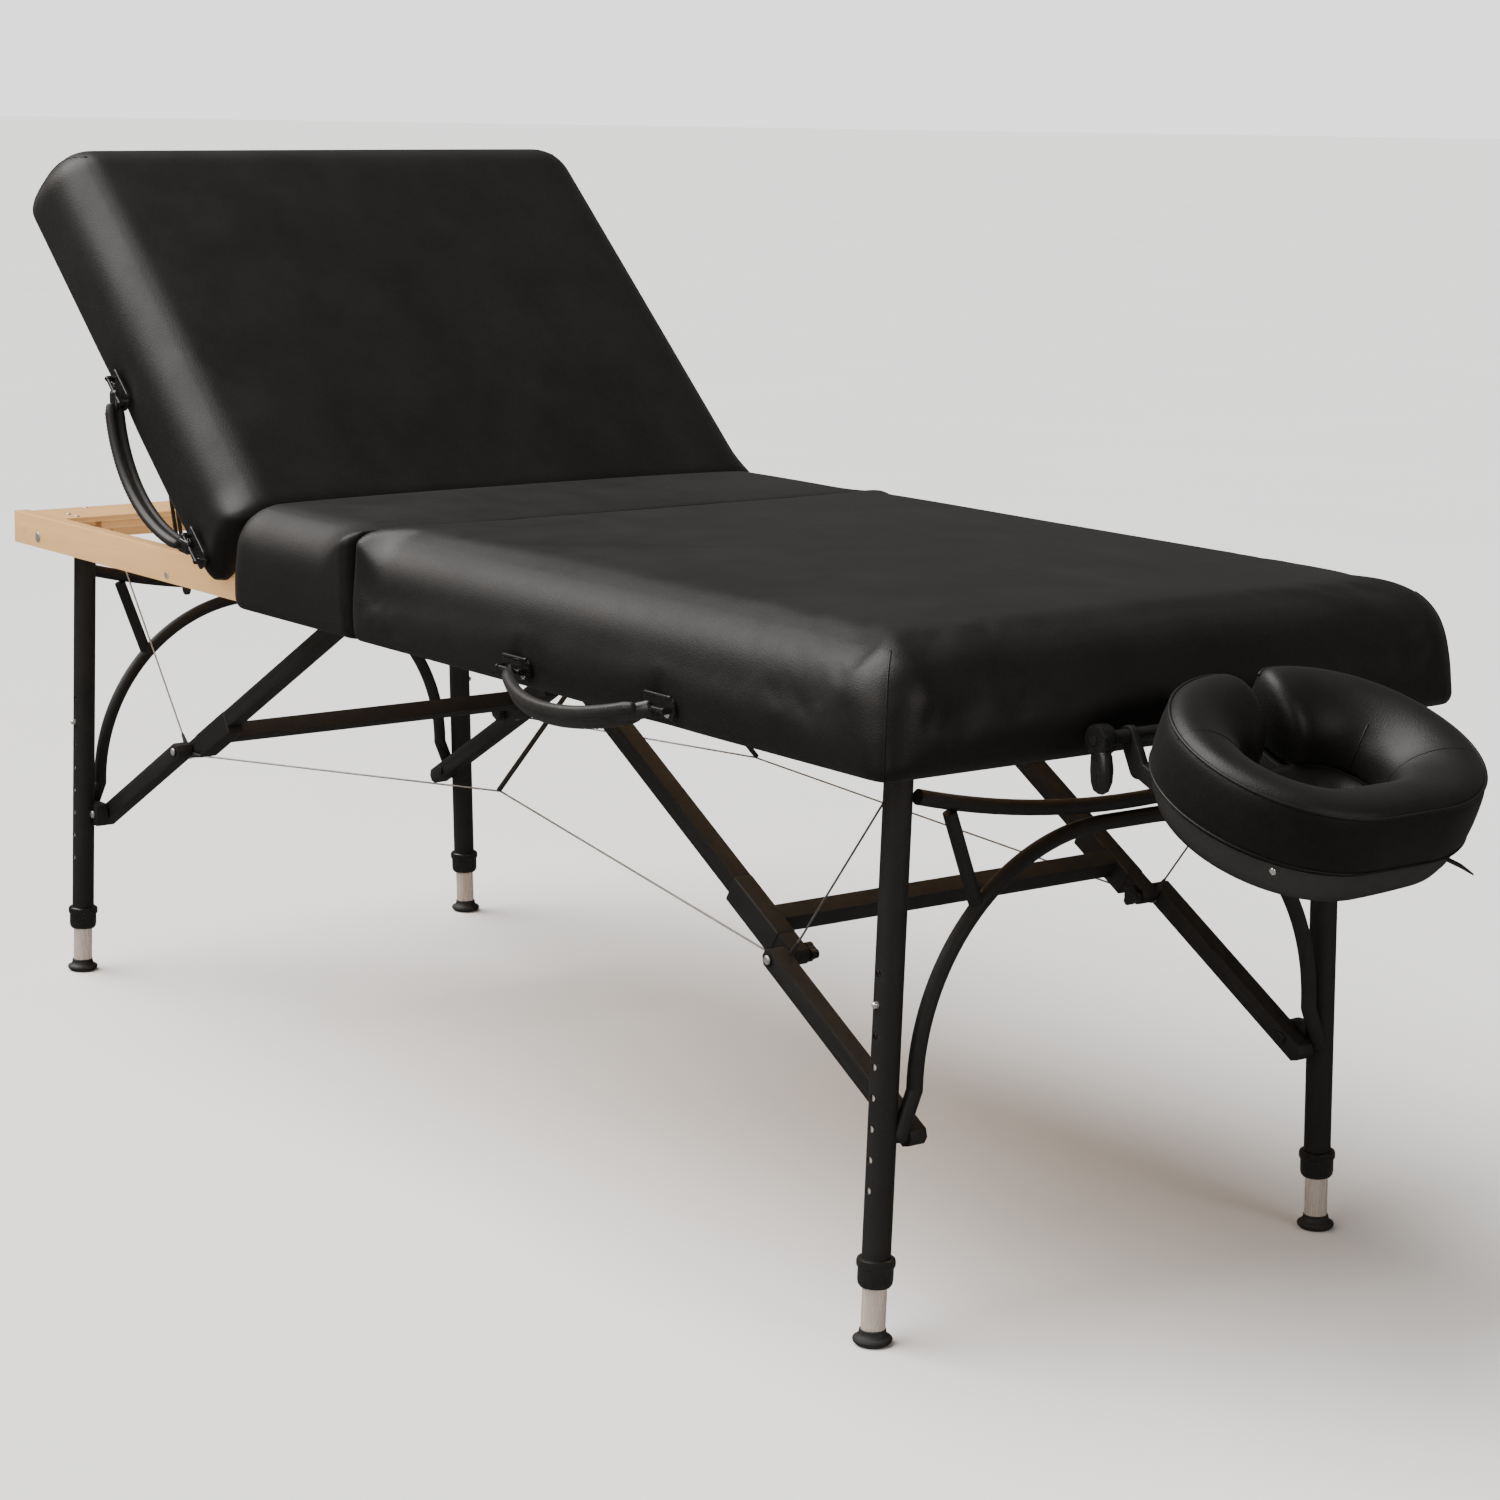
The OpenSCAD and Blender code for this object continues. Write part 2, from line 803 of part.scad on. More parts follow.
module leg_tube(end, side) {
    color("#262524") at_end(end) at_side(side) outer_tube();
}

module arch(end) {
    color("#262524") at_end(end) leg_arch();
}

module collars(end) {
    color("#111111") at_end(end) both_sides() collar();
}

module brace_brackets(end) {
    color("#262524") at_end(end) both_sides() knee_bracket();
}

front_frame();
front_deck_panel();
front_cushion();
front_pivot_bolts();
front_hinge_leaves();
front_handle_brackets();
cradle_sockets();
fold_hinge_pin();
fold_stays();
side_cables();
back_frame();
back_deck_panel();
back_cushion();
back_pivot_bolts();
back_hinge_leaves();
backrest_hinge_pins();
backrest_board();
backrest_cushion();
backrest_hinge_leaves();
backrest_handle_brackets();
backrest_props();
front_handle();
back_handle();
leg_tube(1, -1);  // front_right_leg_tube
leg_tube(1, 1);  // front_left_leg_tube
arch(1);  // front_leg_arch
collars(1);  // front_leg_collars
brace_brackets(1);  // front_brace_brackets
leg_tube(-1, -1);  // back_right_leg_tube
leg_tube(-1, 1);  // back_left_leg_tube
arch(-1);  // back_leg_arch
collars(-1);  // back_leg_collars
brace_brackets(-1);  // back_brace_brackets
color("#262524") at_end(1) upper_braces();  // front_upper_braces
color("#262524") at_end(-1) upper_braces();  // back_upper_braces
color("#262524") at_end(1) lower_braces();  // front_lower_braces
color("#262524") at_end(-1) lower_braces();  // back_lower_braces
color("#101010") at_end(1) at_side(-1) knob();  // front_right_knob
color("#101010") at_end(1) at_side(1) knob();  // front_left_knob
color("#101010") at_end(-1) at_side(-1) knob();  // back_right_knob
color("#101010") at_end(-1) at_side(1) knob();  // back_left_knob
color("silver") at_end(1) at_side(-1) inner_leg();  // front_right_inner_leg
color("silver") at_end(1) at_side(1) inner_leg();  // front_left_inner_leg
color("silver") at_end(-1) at_side(-1) inner_leg();  // back_right_inner_leg
color("silver") at_end(-1) at_side(1) inner_leg();  // back_left_inner_leg
at_end(1) at_side(-1) foot();  // front_right_foot
at_end(1) at_side(1) foot();  // front_left_foot
at_end(-1) at_side(-1) foot();  // back_right_foot
at_end(-1) at_side(1) foot();  // back_left_foot
color("silver") at_end(1) at_side(-1) button();  // front_right_button
color("silver") at_end(1) at_side(1) button();  // front_left_button
color("silver") at_end(-1) at_side(-1) button();  // back_right_button
color("silver") at_end(-1) at_side(1) button();  // back_left_button
cradle_arms();
cradle_links();
cradle_lever();
cradle_platform();
face_cushion();
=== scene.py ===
import math

import bmesh
import bpy
import numpy as np
from mathutils import Matrix, Vector
from mathutils.bvhtree import BVHTree


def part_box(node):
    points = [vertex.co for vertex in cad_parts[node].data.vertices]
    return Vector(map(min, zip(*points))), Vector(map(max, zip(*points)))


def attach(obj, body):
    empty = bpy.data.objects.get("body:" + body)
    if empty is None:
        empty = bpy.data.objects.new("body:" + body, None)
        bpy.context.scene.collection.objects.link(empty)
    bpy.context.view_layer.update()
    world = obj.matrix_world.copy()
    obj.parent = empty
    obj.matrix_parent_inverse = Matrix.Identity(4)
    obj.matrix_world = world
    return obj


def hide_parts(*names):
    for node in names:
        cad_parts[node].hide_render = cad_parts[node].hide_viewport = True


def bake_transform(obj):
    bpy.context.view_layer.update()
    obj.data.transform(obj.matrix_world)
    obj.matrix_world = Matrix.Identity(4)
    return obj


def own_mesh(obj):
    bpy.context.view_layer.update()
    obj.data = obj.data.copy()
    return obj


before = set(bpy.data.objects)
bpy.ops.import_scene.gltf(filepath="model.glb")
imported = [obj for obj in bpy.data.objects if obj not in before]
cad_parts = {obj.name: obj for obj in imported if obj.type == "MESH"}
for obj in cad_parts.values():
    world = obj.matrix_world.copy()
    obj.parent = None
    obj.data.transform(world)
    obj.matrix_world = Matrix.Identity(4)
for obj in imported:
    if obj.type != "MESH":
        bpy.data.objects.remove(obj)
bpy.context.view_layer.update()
scene = bpy.context.scene

# ---- places: the CAD is drawn about the fold, in mm, and moved to the middle of the whole table ----

pin_low, pin_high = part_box("fold_hinge_pin")
FOLD = ((pin_low + pin_high) / 2).to_2d()
UNDER, DECK, PAD, TOP = 564.0, 605.0, 609.1, 684.0
HALF_L, HALF_W, RAIL_Y, RAIL_T = 927.0, 380.0, 347.0, 20.0
HINGE_X, BACK_ANGLE = -286.0, math.radians(42)
FACE, FACE_TILT = (1104.0, 604.0), math.radians(22)
LEG_X, LEG_Y, LEG_Z, KNEE_X, KNEE_Z = 832.0, 281.0, 578.0, 818.0, 210.0
UPPER_X, UPPER_Z = 165.0, 590.0
HANDLE_X, HANDLE_Y, HANDLE_Z = (340.0, 590.0), -390.0, 584.0


def brace_joint():
    """Where the upper and lower brace meet: folded flat, both bars lie in one line."""
    reach = math.hypot(KNEE_X - UPPER_X, UPPER_Z - KNEE_Z)
    folded = LEG_X - (LEG_Z - KNEE_Z) - UPPER_X
    upper = (reach + folded) / 2
    angle = math.atan2(UPPER_Z - KNEE_Z, KNEE_X - UPPER_X)
    return UPPER_X + upper * math.cos(angle), UPPER_Z - upper * math.sin(angle), angle


JOINT_X, JOINT_Z, BRACE_ANGLE = brace_joint()


def placed(co):
    """Points about the fold, in mm, to the row frame in metres."""
    co = np.asarray(co, float) / 1000
    return co + np.array([FOLD.x, FOLD.y, 0])


def lifted(co):
    """Points drawn with the backrest flat, turned up about its hinge."""
    co = np.array(co, float)
    u, w = co[..., 0] - HINGE_X, co[..., 2] - DECK
    c, s = math.cos(BACK_ANGLE), math.sin(BACK_ANGLE)
    co[..., 0], co[..., 2] = HINGE_X + u * c + w * s, DECK - u * s + w * c
    return placed(co)


def on_face(co):
    """Points in the face cushion's own frame, with its top at z = 0."""
    co = np.array(co, float)
    u, w = co[..., 0].copy(), co[..., 2].copy()
    c, s = math.cos(FACE_TILT), math.sin(FACE_TILT)
    co[..., 0], co[..., 2] = FACE[0] + u * c + w * s, FACE[1] - u * s + w * c
    return placed(co)


def P(x, y, z, to=placed):
    return Vector(to(np.array([x, y, z], float)))


# ---- camera ----

def make_camera():
    az, el, roll = math.radians(53.0), math.radians(11.2), math.radians(0.885)
    back = Vector((math.sin(az) * math.cos(el), -math.cos(az) * math.cos(el), math.sin(el)))
    right = Vector((0, 0, 1)).cross(back).normalized()
    up = back.cross(right)
    right, up = right * math.cos(roll) + up * math.sin(roll), up * math.cos(roll) - right * math.sin(roll)
    data = bpy.data.cameras.new("camera")
    data.sensor_width, data.lens = 36.0, 84.09
    data.clip_end = 60
    camera = bpy.data.objects.new("camera", data)
    scene.collection.objects.link(camera)
    m = Matrix((right, up, back)).transposed().to_4x4()
    m.translation = P(3275, -2295, 1196)
    camera.matrix_world = m
    scene.camera = camera


make_camera()


# ---- materials ----

class Nodes:
    """A small helper for writing a material's node tree."""

    def __init__(self, name):
        self.mat = bpy.data.materials.new(name)
        self.mat.use_nodes = True
        self.tree = self.mat.node_tree
        self.bsdf = self.tree.nodes["Principled BSDF"]

    def new(self, kind, **values):
        node = self.tree.nodes.new(kind)
        for key, value in values.items():
            if key in node.inputs:
                node.inputs[key].default_value = value
            else:
                setattr(node, key, value)
        return node

    def link(self, a, b):
        self.tree.links.new(a, b)

    def coords(self, scale):
        place = self.new("ShaderNodeTexCoord")
        mapping = self.new("ShaderNodeMapping")
        mapping.inputs["Scale"].default_value = scale
        self.link(place.outputs["Object"], mapping.inputs["Vector"])
        return mapping.outputs["Vector"]

    def noise(self, scale, detail=3.0, stretch=(1, 1, 1), rough=0.55, distortion=0.0):
        n = self.new("ShaderNodeTexNoise", Scale=scale, Detail=detail, Roughness=rough, Distortion=distortion)
        self.link(self.coords(stretch), n.inputs["Vector"])
        return n.outputs["Fac"]

    def cells(self, scale):
        n = self.new("ShaderNodeTexVoronoi", Scale=scale)
        self.link(self.coords((1, 1, 1)), n.inputs["Vector"])
        return n.outputs["Distance"]

    def ramp(self, value, stops):
        r = self.new("ShaderNodeValToRGB")
        while len(r.color_ramp.elements) < len(stops):
            r.color_ramp.elements.new(0.5)
        for e, (pos, color) in zip(r.color_ramp.elements, stops):
            e.position = pos
            e.color = (*color, 1) if hasattr(color, "__len__") else (color, color, color, 1)
        self.link(value, r.inputs["Fac"])
        return r.outputs["Color"]

    def mix(self, a, b, fac):
        m = self.new("ShaderNodeMix")
        m.data_type = "RGBA"
        m.inputs[0].default_value = fac
        self.link(a, m.inputs[6])
        self.link(b, m.inputs[7])
        return m.outputs[2]

    def spread(self, value, low, high, at=(0.3, 0.7)):
        m = self.new("ShaderNodeMapRange")
        for k, v in zip(("From Min", "From Max", "To Min", "To Max"), (*at, low, high)):
            m.inputs[k].default_value = v
        self.link(value, m.inputs["Value"])
        return m.outputs["Result"]

    def bumps(self, *layers):
        """Layers are (height, depth in metres, strength)."""
        normal = None
        for height, depth, strength in layers:
            b = self.new("ShaderNodeBump", Strength=strength, Distance=depth)
            self.link(height, b.inputs["Height"])
            if normal:
                self.link(normal, b.inputs["Normal"])
            normal = b.outputs["Normal"]
        self.link(normal, self.bsdf.inputs["Normal"])

    def set(self, **values):
        for key, value in values.items():
            socket = self.bsdf.inputs[key.replace("_", " ")]
            if isinstance(value, bpy.types.NodeSocket):
                self.link(value, socket)
            else:
                socket.default_value = value


def leather(name, dark, light, rough, grain=620.0):
    n = Nodes(name)
    blotch = n.noise(7.0, 4)
    fine = n.noise(160.0, 2)
    color = n.mix(n.ramp(blotch, [(0.3, dark), (0.75, light)]), n.ramp(fine, [(0.35, dark), (0.7, light)]), 0.35)
    cells = n.cells(grain)
    n.set(Base_Color=color, Roughness=n.spread(n.noise(11.0, 5, rough=0.65), rough[0], rough[1]),
          Specular_IOR_Level=0.30, Sheen_Weight=0.02, Sheen_Roughness=0.5)
    n.bumps((n.noise(5.0, 2), 0.004, 0.10), (n.noise(70.0, 3), 0.0006, 0.16), (cells, 0.00022, 0.55))
    return n.mat


def painted(name, dark, light, rough, grit=1500.0, depth=0.00012):
    n = Nodes(name)
    color = n.mix(n.ramp(n.noise(9.0, 4), [(0.3, dark), (0.7, light)]),
                  n.ramp(n.noise(420.0, 2), [(0.42, dark), (0.62, light)]), 0.4)
    n.set(Base_Color=color, Roughness=n.spread(n.noise(24.0, 5, rough=0.7), rough[0], rough[1]),
          Specular_IOR_Level=0.34)
    n.bumps((n.noise(grit, 2), depth, 0.5), (n.noise(36.0, 3), 0.0004, 0.08))
    return n.mat


def metal(name, dark, light, rough, brushed=(1, 1, 1), scratch=0.25, metallic=0.82):
    n = Nodes(name)
    streak = n.noise(260.0, 4, brushed)
    n.set(Base_Color=n.mix(n.ramp(n.noise(14.0, 4), [(0.3, dark), (0.7, light)]),
                           n.ramp(streak, [(0.3, dark), (0.7, light)]), 0.45),
          Metallic=metallic, Roughness=n.spread(streak, rough[0], rough[1]))
    n.bumps((streak, 0.00006, scratch), (n.noise(45.0, 2), 0.0002, 0.06))
    return n.mat


def wood(name, along, pale, mid, dark):
    """Straight grain along one axis, with fine pores and slow colour changes."""
    n = Nodes(name)
    stretch = [1.0 if a == along else 13.0 for a in range(3)]
    pores = [1.0 if a == along else 26.0 for a in range(3)]
    bands = n.noise(3.4, 5, stretch, 0.6, 0.35)
    fine = n.noise(26.0, 3, pores)
    slow = n.noise(2.2, 2)
    color = n.mix(n.ramp(bands, [(0.28, mid), (0.5, pale), (0.62, pale), (0.8, mid)]),
                  n.ramp(fine, [(0.30, dark), (0.48, pale), (0.9, pale)]), 0.30)
    color = n.mix(color, n.ramp(slow, [(0.3, mid), (0.7, pale)]), 0.3)
    n.set(Base_Color=color, Roughness=n.spread(fine, 0.42, 0.6), Specular_IOR_Level=0.4,
          Coat_Weight=0.12, Coat_Roughness=0.35)
    n.bumps((fine, 0.00025, 0.25), (bands, 0.0004, 0.12))
    return n.mat


def plywood(name):
    n = Nodes(name)
    bands = n.noise(2.6, 4, (1, 9, 9), 0.6, 0.5)
    layers = n.noise(1.0, 0, (0.01, 0.01, 900))
    color = n.mix(n.ramp(bands, [(0.3, (0.50, 0.33, 0.19)), (0.7, (0.66, 0.47, 0.29))]),
                  n.ramp(layers, [(0.45, (0.40, 0.26, 0.15)), (0.55, (0.68, 0.5, 0.32))]), 0.25)
    n.set(Base_Color=color, Roughness=n.spread(n.noise(40.0, 3), 0.55, 0.75))
    n.bumps((n.noise(30.0, 3, (1, 20, 20)), 0.0003, 0.3))
    return n.mat


def rubber(name, dark, light, rough):
    n = Nodes(name)
    n.set(Base_Color=n.ramp(n.noise(30.0, 4), [(0.3, dark), (0.7, light)]),
          Roughness=n.spread(n.noise(60.0, 4), rough[0], rough[1]), Specular_IOR_Level=0.4)
    n.bumps((n.noise(900.0, 2), 0.0001, 0.4), (n.noise(80.0, 3), 0.0004, 0.1))
    return n.mat


def strand(name):
    """Twisted steel cable: fine slanted lines round the wire, with painted shade in the base colour, darkest in the
    grooves between the strands.
    """
    n = Nodes(name)
    w = n.new("ShaderNodeTexWave", Scale=420.0, Distortion=0.4)
    w.bands_direction = "DIAGONAL"
    n.link(n.coords((1, 1, 1)), w.inputs["Vector"])
    # painted shade: the base colour goes dark where the wave is low, and the same wave is the bump's height, so the
    # grooves between strands are painted darker
    n.set(Base_Color=n.ramp(w.outputs["Fac"], [(0.2, (0.22, 0.21, 0.20)), (0.8, (0.62, 0.60, 0.57))]),
          Metallic=1.0, Roughness=n.spread(n.noise(90.0), 0.3, 0.45))
    n.bumps((w.outputs["Fac"], 0.0003, 0.6))
    return n.mat


VINYL = leather("black_vinyl_leather", (0.0027, 0.0024, 0.0021), (0.0060, 0.0051, 0.0044), (0.41, 0.54))
GRIP = leather("handle_leather", (0.009, 0.0085, 0.008), (0.02, 0.0185, 0.017), (0.34, 0.5), 800.0)
THREAD = leather("thread", (0.012, 0.011, 0.010), (0.03, 0.027, 0.024), (0.6, 0.75), 2400.0)
POWDER = painted("black_powder_coat", (0.0076, 0.0075, 0.0074), (0.0128, 0.0125, 0.0122), (0.46, 0.62))
BLACK_STEEL = painted("black_steel_paint", (0.0095, 0.0094, 0.0092), (0.017, 0.0166, 0.0162), (0.36, 0.52), 900.0)
GLOSS = painted("black_gloss_plastic", (0.008, 0.008, 0.008), (0.015, 0.0145, 0.014), (0.14, 0.26), 300.0, 0.00005)
MATTE = painted("black_matte_plastic", (0.013, 0.0125, 0.012), (0.022, 0.0205, 0.019), (0.5, 0.68), 700.0)
RUBBER = rubber("foot_rubber", (0.010, 0.0095, 0.009), (0.02, 0.019, 0.018), (0.55, 0.75))
ZINC = metal("zinc_steel", (0.52, 0.51, 0.50), (0.74, 0.72, 0.70), (0.24, 0.42))
CHROME = metal("bright_steel", (0.72, 0.70, 0.67), (0.90, 0.88, 0.85), (0.08, 0.2), scratch=0.1)
ALUMINIUM = metal("bright_aluminium", (0.68, 0.56, 0.48), (0.90, 0.82, 0.75), (0.2, 0.34), (1, 1, 0.05), metallic=0.55)
CABLE = strand("steel_cable")
MAPLE = ((0.70, 0.415, 0.165), (0.61, 0.335, 0.12), (0.45, 0.225, 0.07))
MAPLE_X = wood("maple_along_x", 0, *MAPLE)
MAPLE_Y = wood("maple_along_y", 1, *MAPLE)
PLY = plywood("plywood")


def paint(node, mat):
    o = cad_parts[node]
    o.data.materials.clear()
    o.data.materials.append(mat)


# ---- making pieces ----

def mesh_object(name, co, faces, mat):
    me = bpy.data.meshes.new(name)
    me.from_pydata([tuple(p) for p in co], [], faces)
    me.validate()
    me.update()
    me.materials.append(mat)
    o = bpy.data.objects.new(name, me)
    scene.collection.objects.link(o)
    me.polygons.foreach_set("use_smooth", [True] * len(me.polygons))
    return o


def skin(rows, segs, closed=False):
    """Quads over rows of segs points each, with the two ends capped, or joined to each other if closed."""
    faces = []
    for i in range(rows if closed else rows - 1):
        j = (i + 1) % rows
        for k in range(segs):
            l = (k + 1) % segs
            faces.append((i * segs + k, i * segs + l, j * segs + l, j * segs + k))
    if not closed:
        faces += [tuple(range(segs))[::-1], tuple((rows - 1) * segs + k for k in range(segs))]
    return faces


def coords_of(o):
    co = np.zeros(len(o.data.vertices) * 3)
    o.data.vertices.foreach_get("co", co)
    return co.reshape(-1, 3)


def set_coords(o, co):
    o.data.vertices.foreach_set("co", np.asarray(co, float).ravel())
    o.data.update()


def outward(o):
    bm = bmesh.new()
    bm.from_mesh(o.data)
    bmesh.ops.recalc_face_normals(bm, faces=bm.faces)
    bm.to_mesh(o.data)
    bm.free()


def apply_modifiers(o):
    bpy.context.view_layer.update()
    graph = bpy.context.evaluated_depsgraph_get()
    me = bpy.data.meshes.new_from_object(o.evaluated_get(graph))
    old = o.data
    o.modifiers.clear()
    o.data = me
    bpy.data.meshes.remove(old)


def subdivide(o):
    m = o.modifiers.new("sub", "SUBSURF")
    m.levels = m.render_levels = 1
    apply_modifiers(o)


def smooth_by_angle(o, degrees=35):
    me = o.data
    me.polygons.foreach_set("use_smooth", [True] * len(me.polygons))
    bm = bmesh.new()
    bm.from_mesh(me)
    for e in bm.edges:
        e.smooth = len(e.link_faces) != 2 or e.calc_face_angle(0) < math.radians(degrees)
    bm.to_mesh(me)
    bm.free()


def refined(node, body, mat, slot, width=0.0012, segments=2):
    """The CAD node again, with its sharp edges rounded the way real metal and plastic edges are."""
    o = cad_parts[node].copy()
    o.data = o.data.copy()
    o.name = node + "_finished"
    for key in list(o.keys()):
        del o[key]
    scene.collection.objects.link(o)
    o.parent = None
    o.matrix_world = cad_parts[node].matrix_world
    o.hide_render = o.hide_viewport = False
    o.data.materials.clear()
    o.data.materials.append(mat)
    bm = bmesh.new()
    bm.from_mesh(o.data)
    bmesh.ops.remove_doubles(bm, verts=bm.verts, dist=2e-6)
    bmesh.ops.dissolve_limit(bm, angle_limit=math.radians(0.8), verts=bm.verts, edges=bm.edges)
    bm.to_mesh(o.data)
    bm.free()
    m = o.modifiers.new("edges", "BEVEL")
    m.width, m.segments, m.limit_method, m.angle_limit = width, segments, "ANGLE", math.radians(38)
    m.use_clamp_overlap = True
    apply_modifiers(o)
    smooth_by_angle(o, 40)
    return finish_piece(o, body, slot, node)


def tube(name, points, radius, mat, segments=10, taper=None, closed=False, squash=1.0, lift=None):
    """A tube swept along points (row frame, metres). taper gives the radius factor at each point."""
    pts = np.asarray(points, float)
    n = len(pts)
    nxt = np.roll(pts, -1, 0) - np.roll(pts, 1, 0)
    if not closed:
        nxt[0], nxt[-1] = pts[1] - pts[0], pts[-1] - pts[-2]
    tangents = nxt / np.maximum(np.linalg.norm(nxt, axis=1, keepdims=True), 1e-12)
    side = np.cross(tangents[0], (0, 0, 1) if lift is None else lift)
    if np.linalg.norm(side) < 1e-6:
        side = np.array([1.0, 0, 0])
    co = []
    for i in range(n):
        t = tangents[i]
        side = side - t * side.dot(t)
        side /= np.linalg.norm(side)
        up = np.cross(side, t)
        r = radius * (taper[i] if taper is not None else 1.0)
        for k in range(segments):
            a = 2 * math.pi * k / segments
            co.append(pts[i] + side * (r * math.cos(a)) + up * (r * squash * math.sin(a)))
    o = mesh_object(name, co, skin(n, segments, closed), mat)
    outward(o)
    return o


def lathe(name, profile, mat, at, axis, segments=28):
    """A turned piece: profile is (radius, height) in mm from the base up, at a point, along an axis."""
    co = []
    for r, h in profile:
        for k in range(segments):
            a = 2 * math.pi * k / segments
            co.append((r * math.cos(a) / 1000, r * math.sin(a) / 1000, h / 1000))
    o = mesh_object(name, co, skin(len(profile), segments), mat)
    smooth_by_angle(o, 38)
    rot = Vector((0, 0, 1)).rotation_difference(Vector(axis).normalized()).to_matrix().to_4x4()
    o.data.transform(Matrix.Translation(at) @ rot)
    outward(o)
    return o


def joined(name, objects):
    """Several meshes as one piece."""
    bm = bmesh.new()
    mats = []
    for o in objects:
        start = len(bm.faces)
        bm.from_mesh(o.data)
        bm.faces.ensure_lookup_table()
        mat = o.data.materials[0]
        if mat not in mats:
            mats.append(mat)
        for f in bm.faces[start:]:
            f.material_index = mats.index(mat)
    me = bpy.data.meshes.new(name)
    bm.to_mesh(me)
    bm.free()
    for mat in mats:
        me.materials.append(mat)
    for o in objects:
        bpy.data.objects.remove(o)
    o = bpy.data.objects.new(name, me)
    scene.collection.objects.link(o)
    return o


def domed(r, h, skirt=0.4):
    """Profile of a low domed rivet or screw head."""
    return [(r, 0), (r, skirt)] + [(r * math.cos(a), skirt + (h - skirt) * math.sin(a))
                                   for a in (0.25, 0.5, 0.8, 1.1, 1.35, 1.5)]


def finish_piece(o, body, slot, *nodes):
    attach(o, body)
    if nodes:
        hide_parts(*nodes)
    return o


# ---- cushions ----

def lines(low, high, step, *extra):
    n = max(2, round((high - low) / step) + 1)
    values = list(np.linspace(low, high, n))
    for e in extra:
        values = [v for v in values if abs(v - e) > step * 0.3 or v in (low, high)] + [e]
    return np.array(sorted(values))


def shell(xs, ys, zs):
    """Quads over the surface of a box, at these lines."""
    index, co, faces = {}, [], []

    def at(i, j, k):
        if (i, j, k) not in index:
            index[(i, j, k)] = len(co)
            co.append((xs[i], ys[j], zs[k]))
        return index[(i, j, k)]

    a, b, c = len(xs) - 1, len(ys) - 1, len(zs) - 1
    for i in range(a):
        for j in range(b):
            faces.append((at(i, j, 0), at(i, j + 1, 0), at(i + 1, j + 1, 0), at(i + 1, j, 0)))
            faces.append((at(i, j, c), at(i + 1, j, c), at(i + 1, j + 1, c), at(i, j + 1, c)))
        for k in range(c):
            faces.append((at(i, 0, k), at(i + 1, 0, k), at(i + 1, 0, k + 1), at(i, 0, k + 1)))
            faces.append((at(i, b, k), at(i, b, k + 1), at(i + 1, b, k + 1), at(i + 1, b, k)))
    for j in range(b):
        for k in range(c):
            faces.append((at(0, j, k), at(0, j, k + 1), at(0, j + 1, k + 1), at(0, j + 1, k)))
            faces.append((at(a, j, k), at(a, j + 1, k), at(a, j + 1, k + 1), at(a, j, k + 1)))
    return np.array(co), faces


def smoothstep(t):
    t = np.clip(t, 0, 1)
    return t * t * (3 - 2 * t)


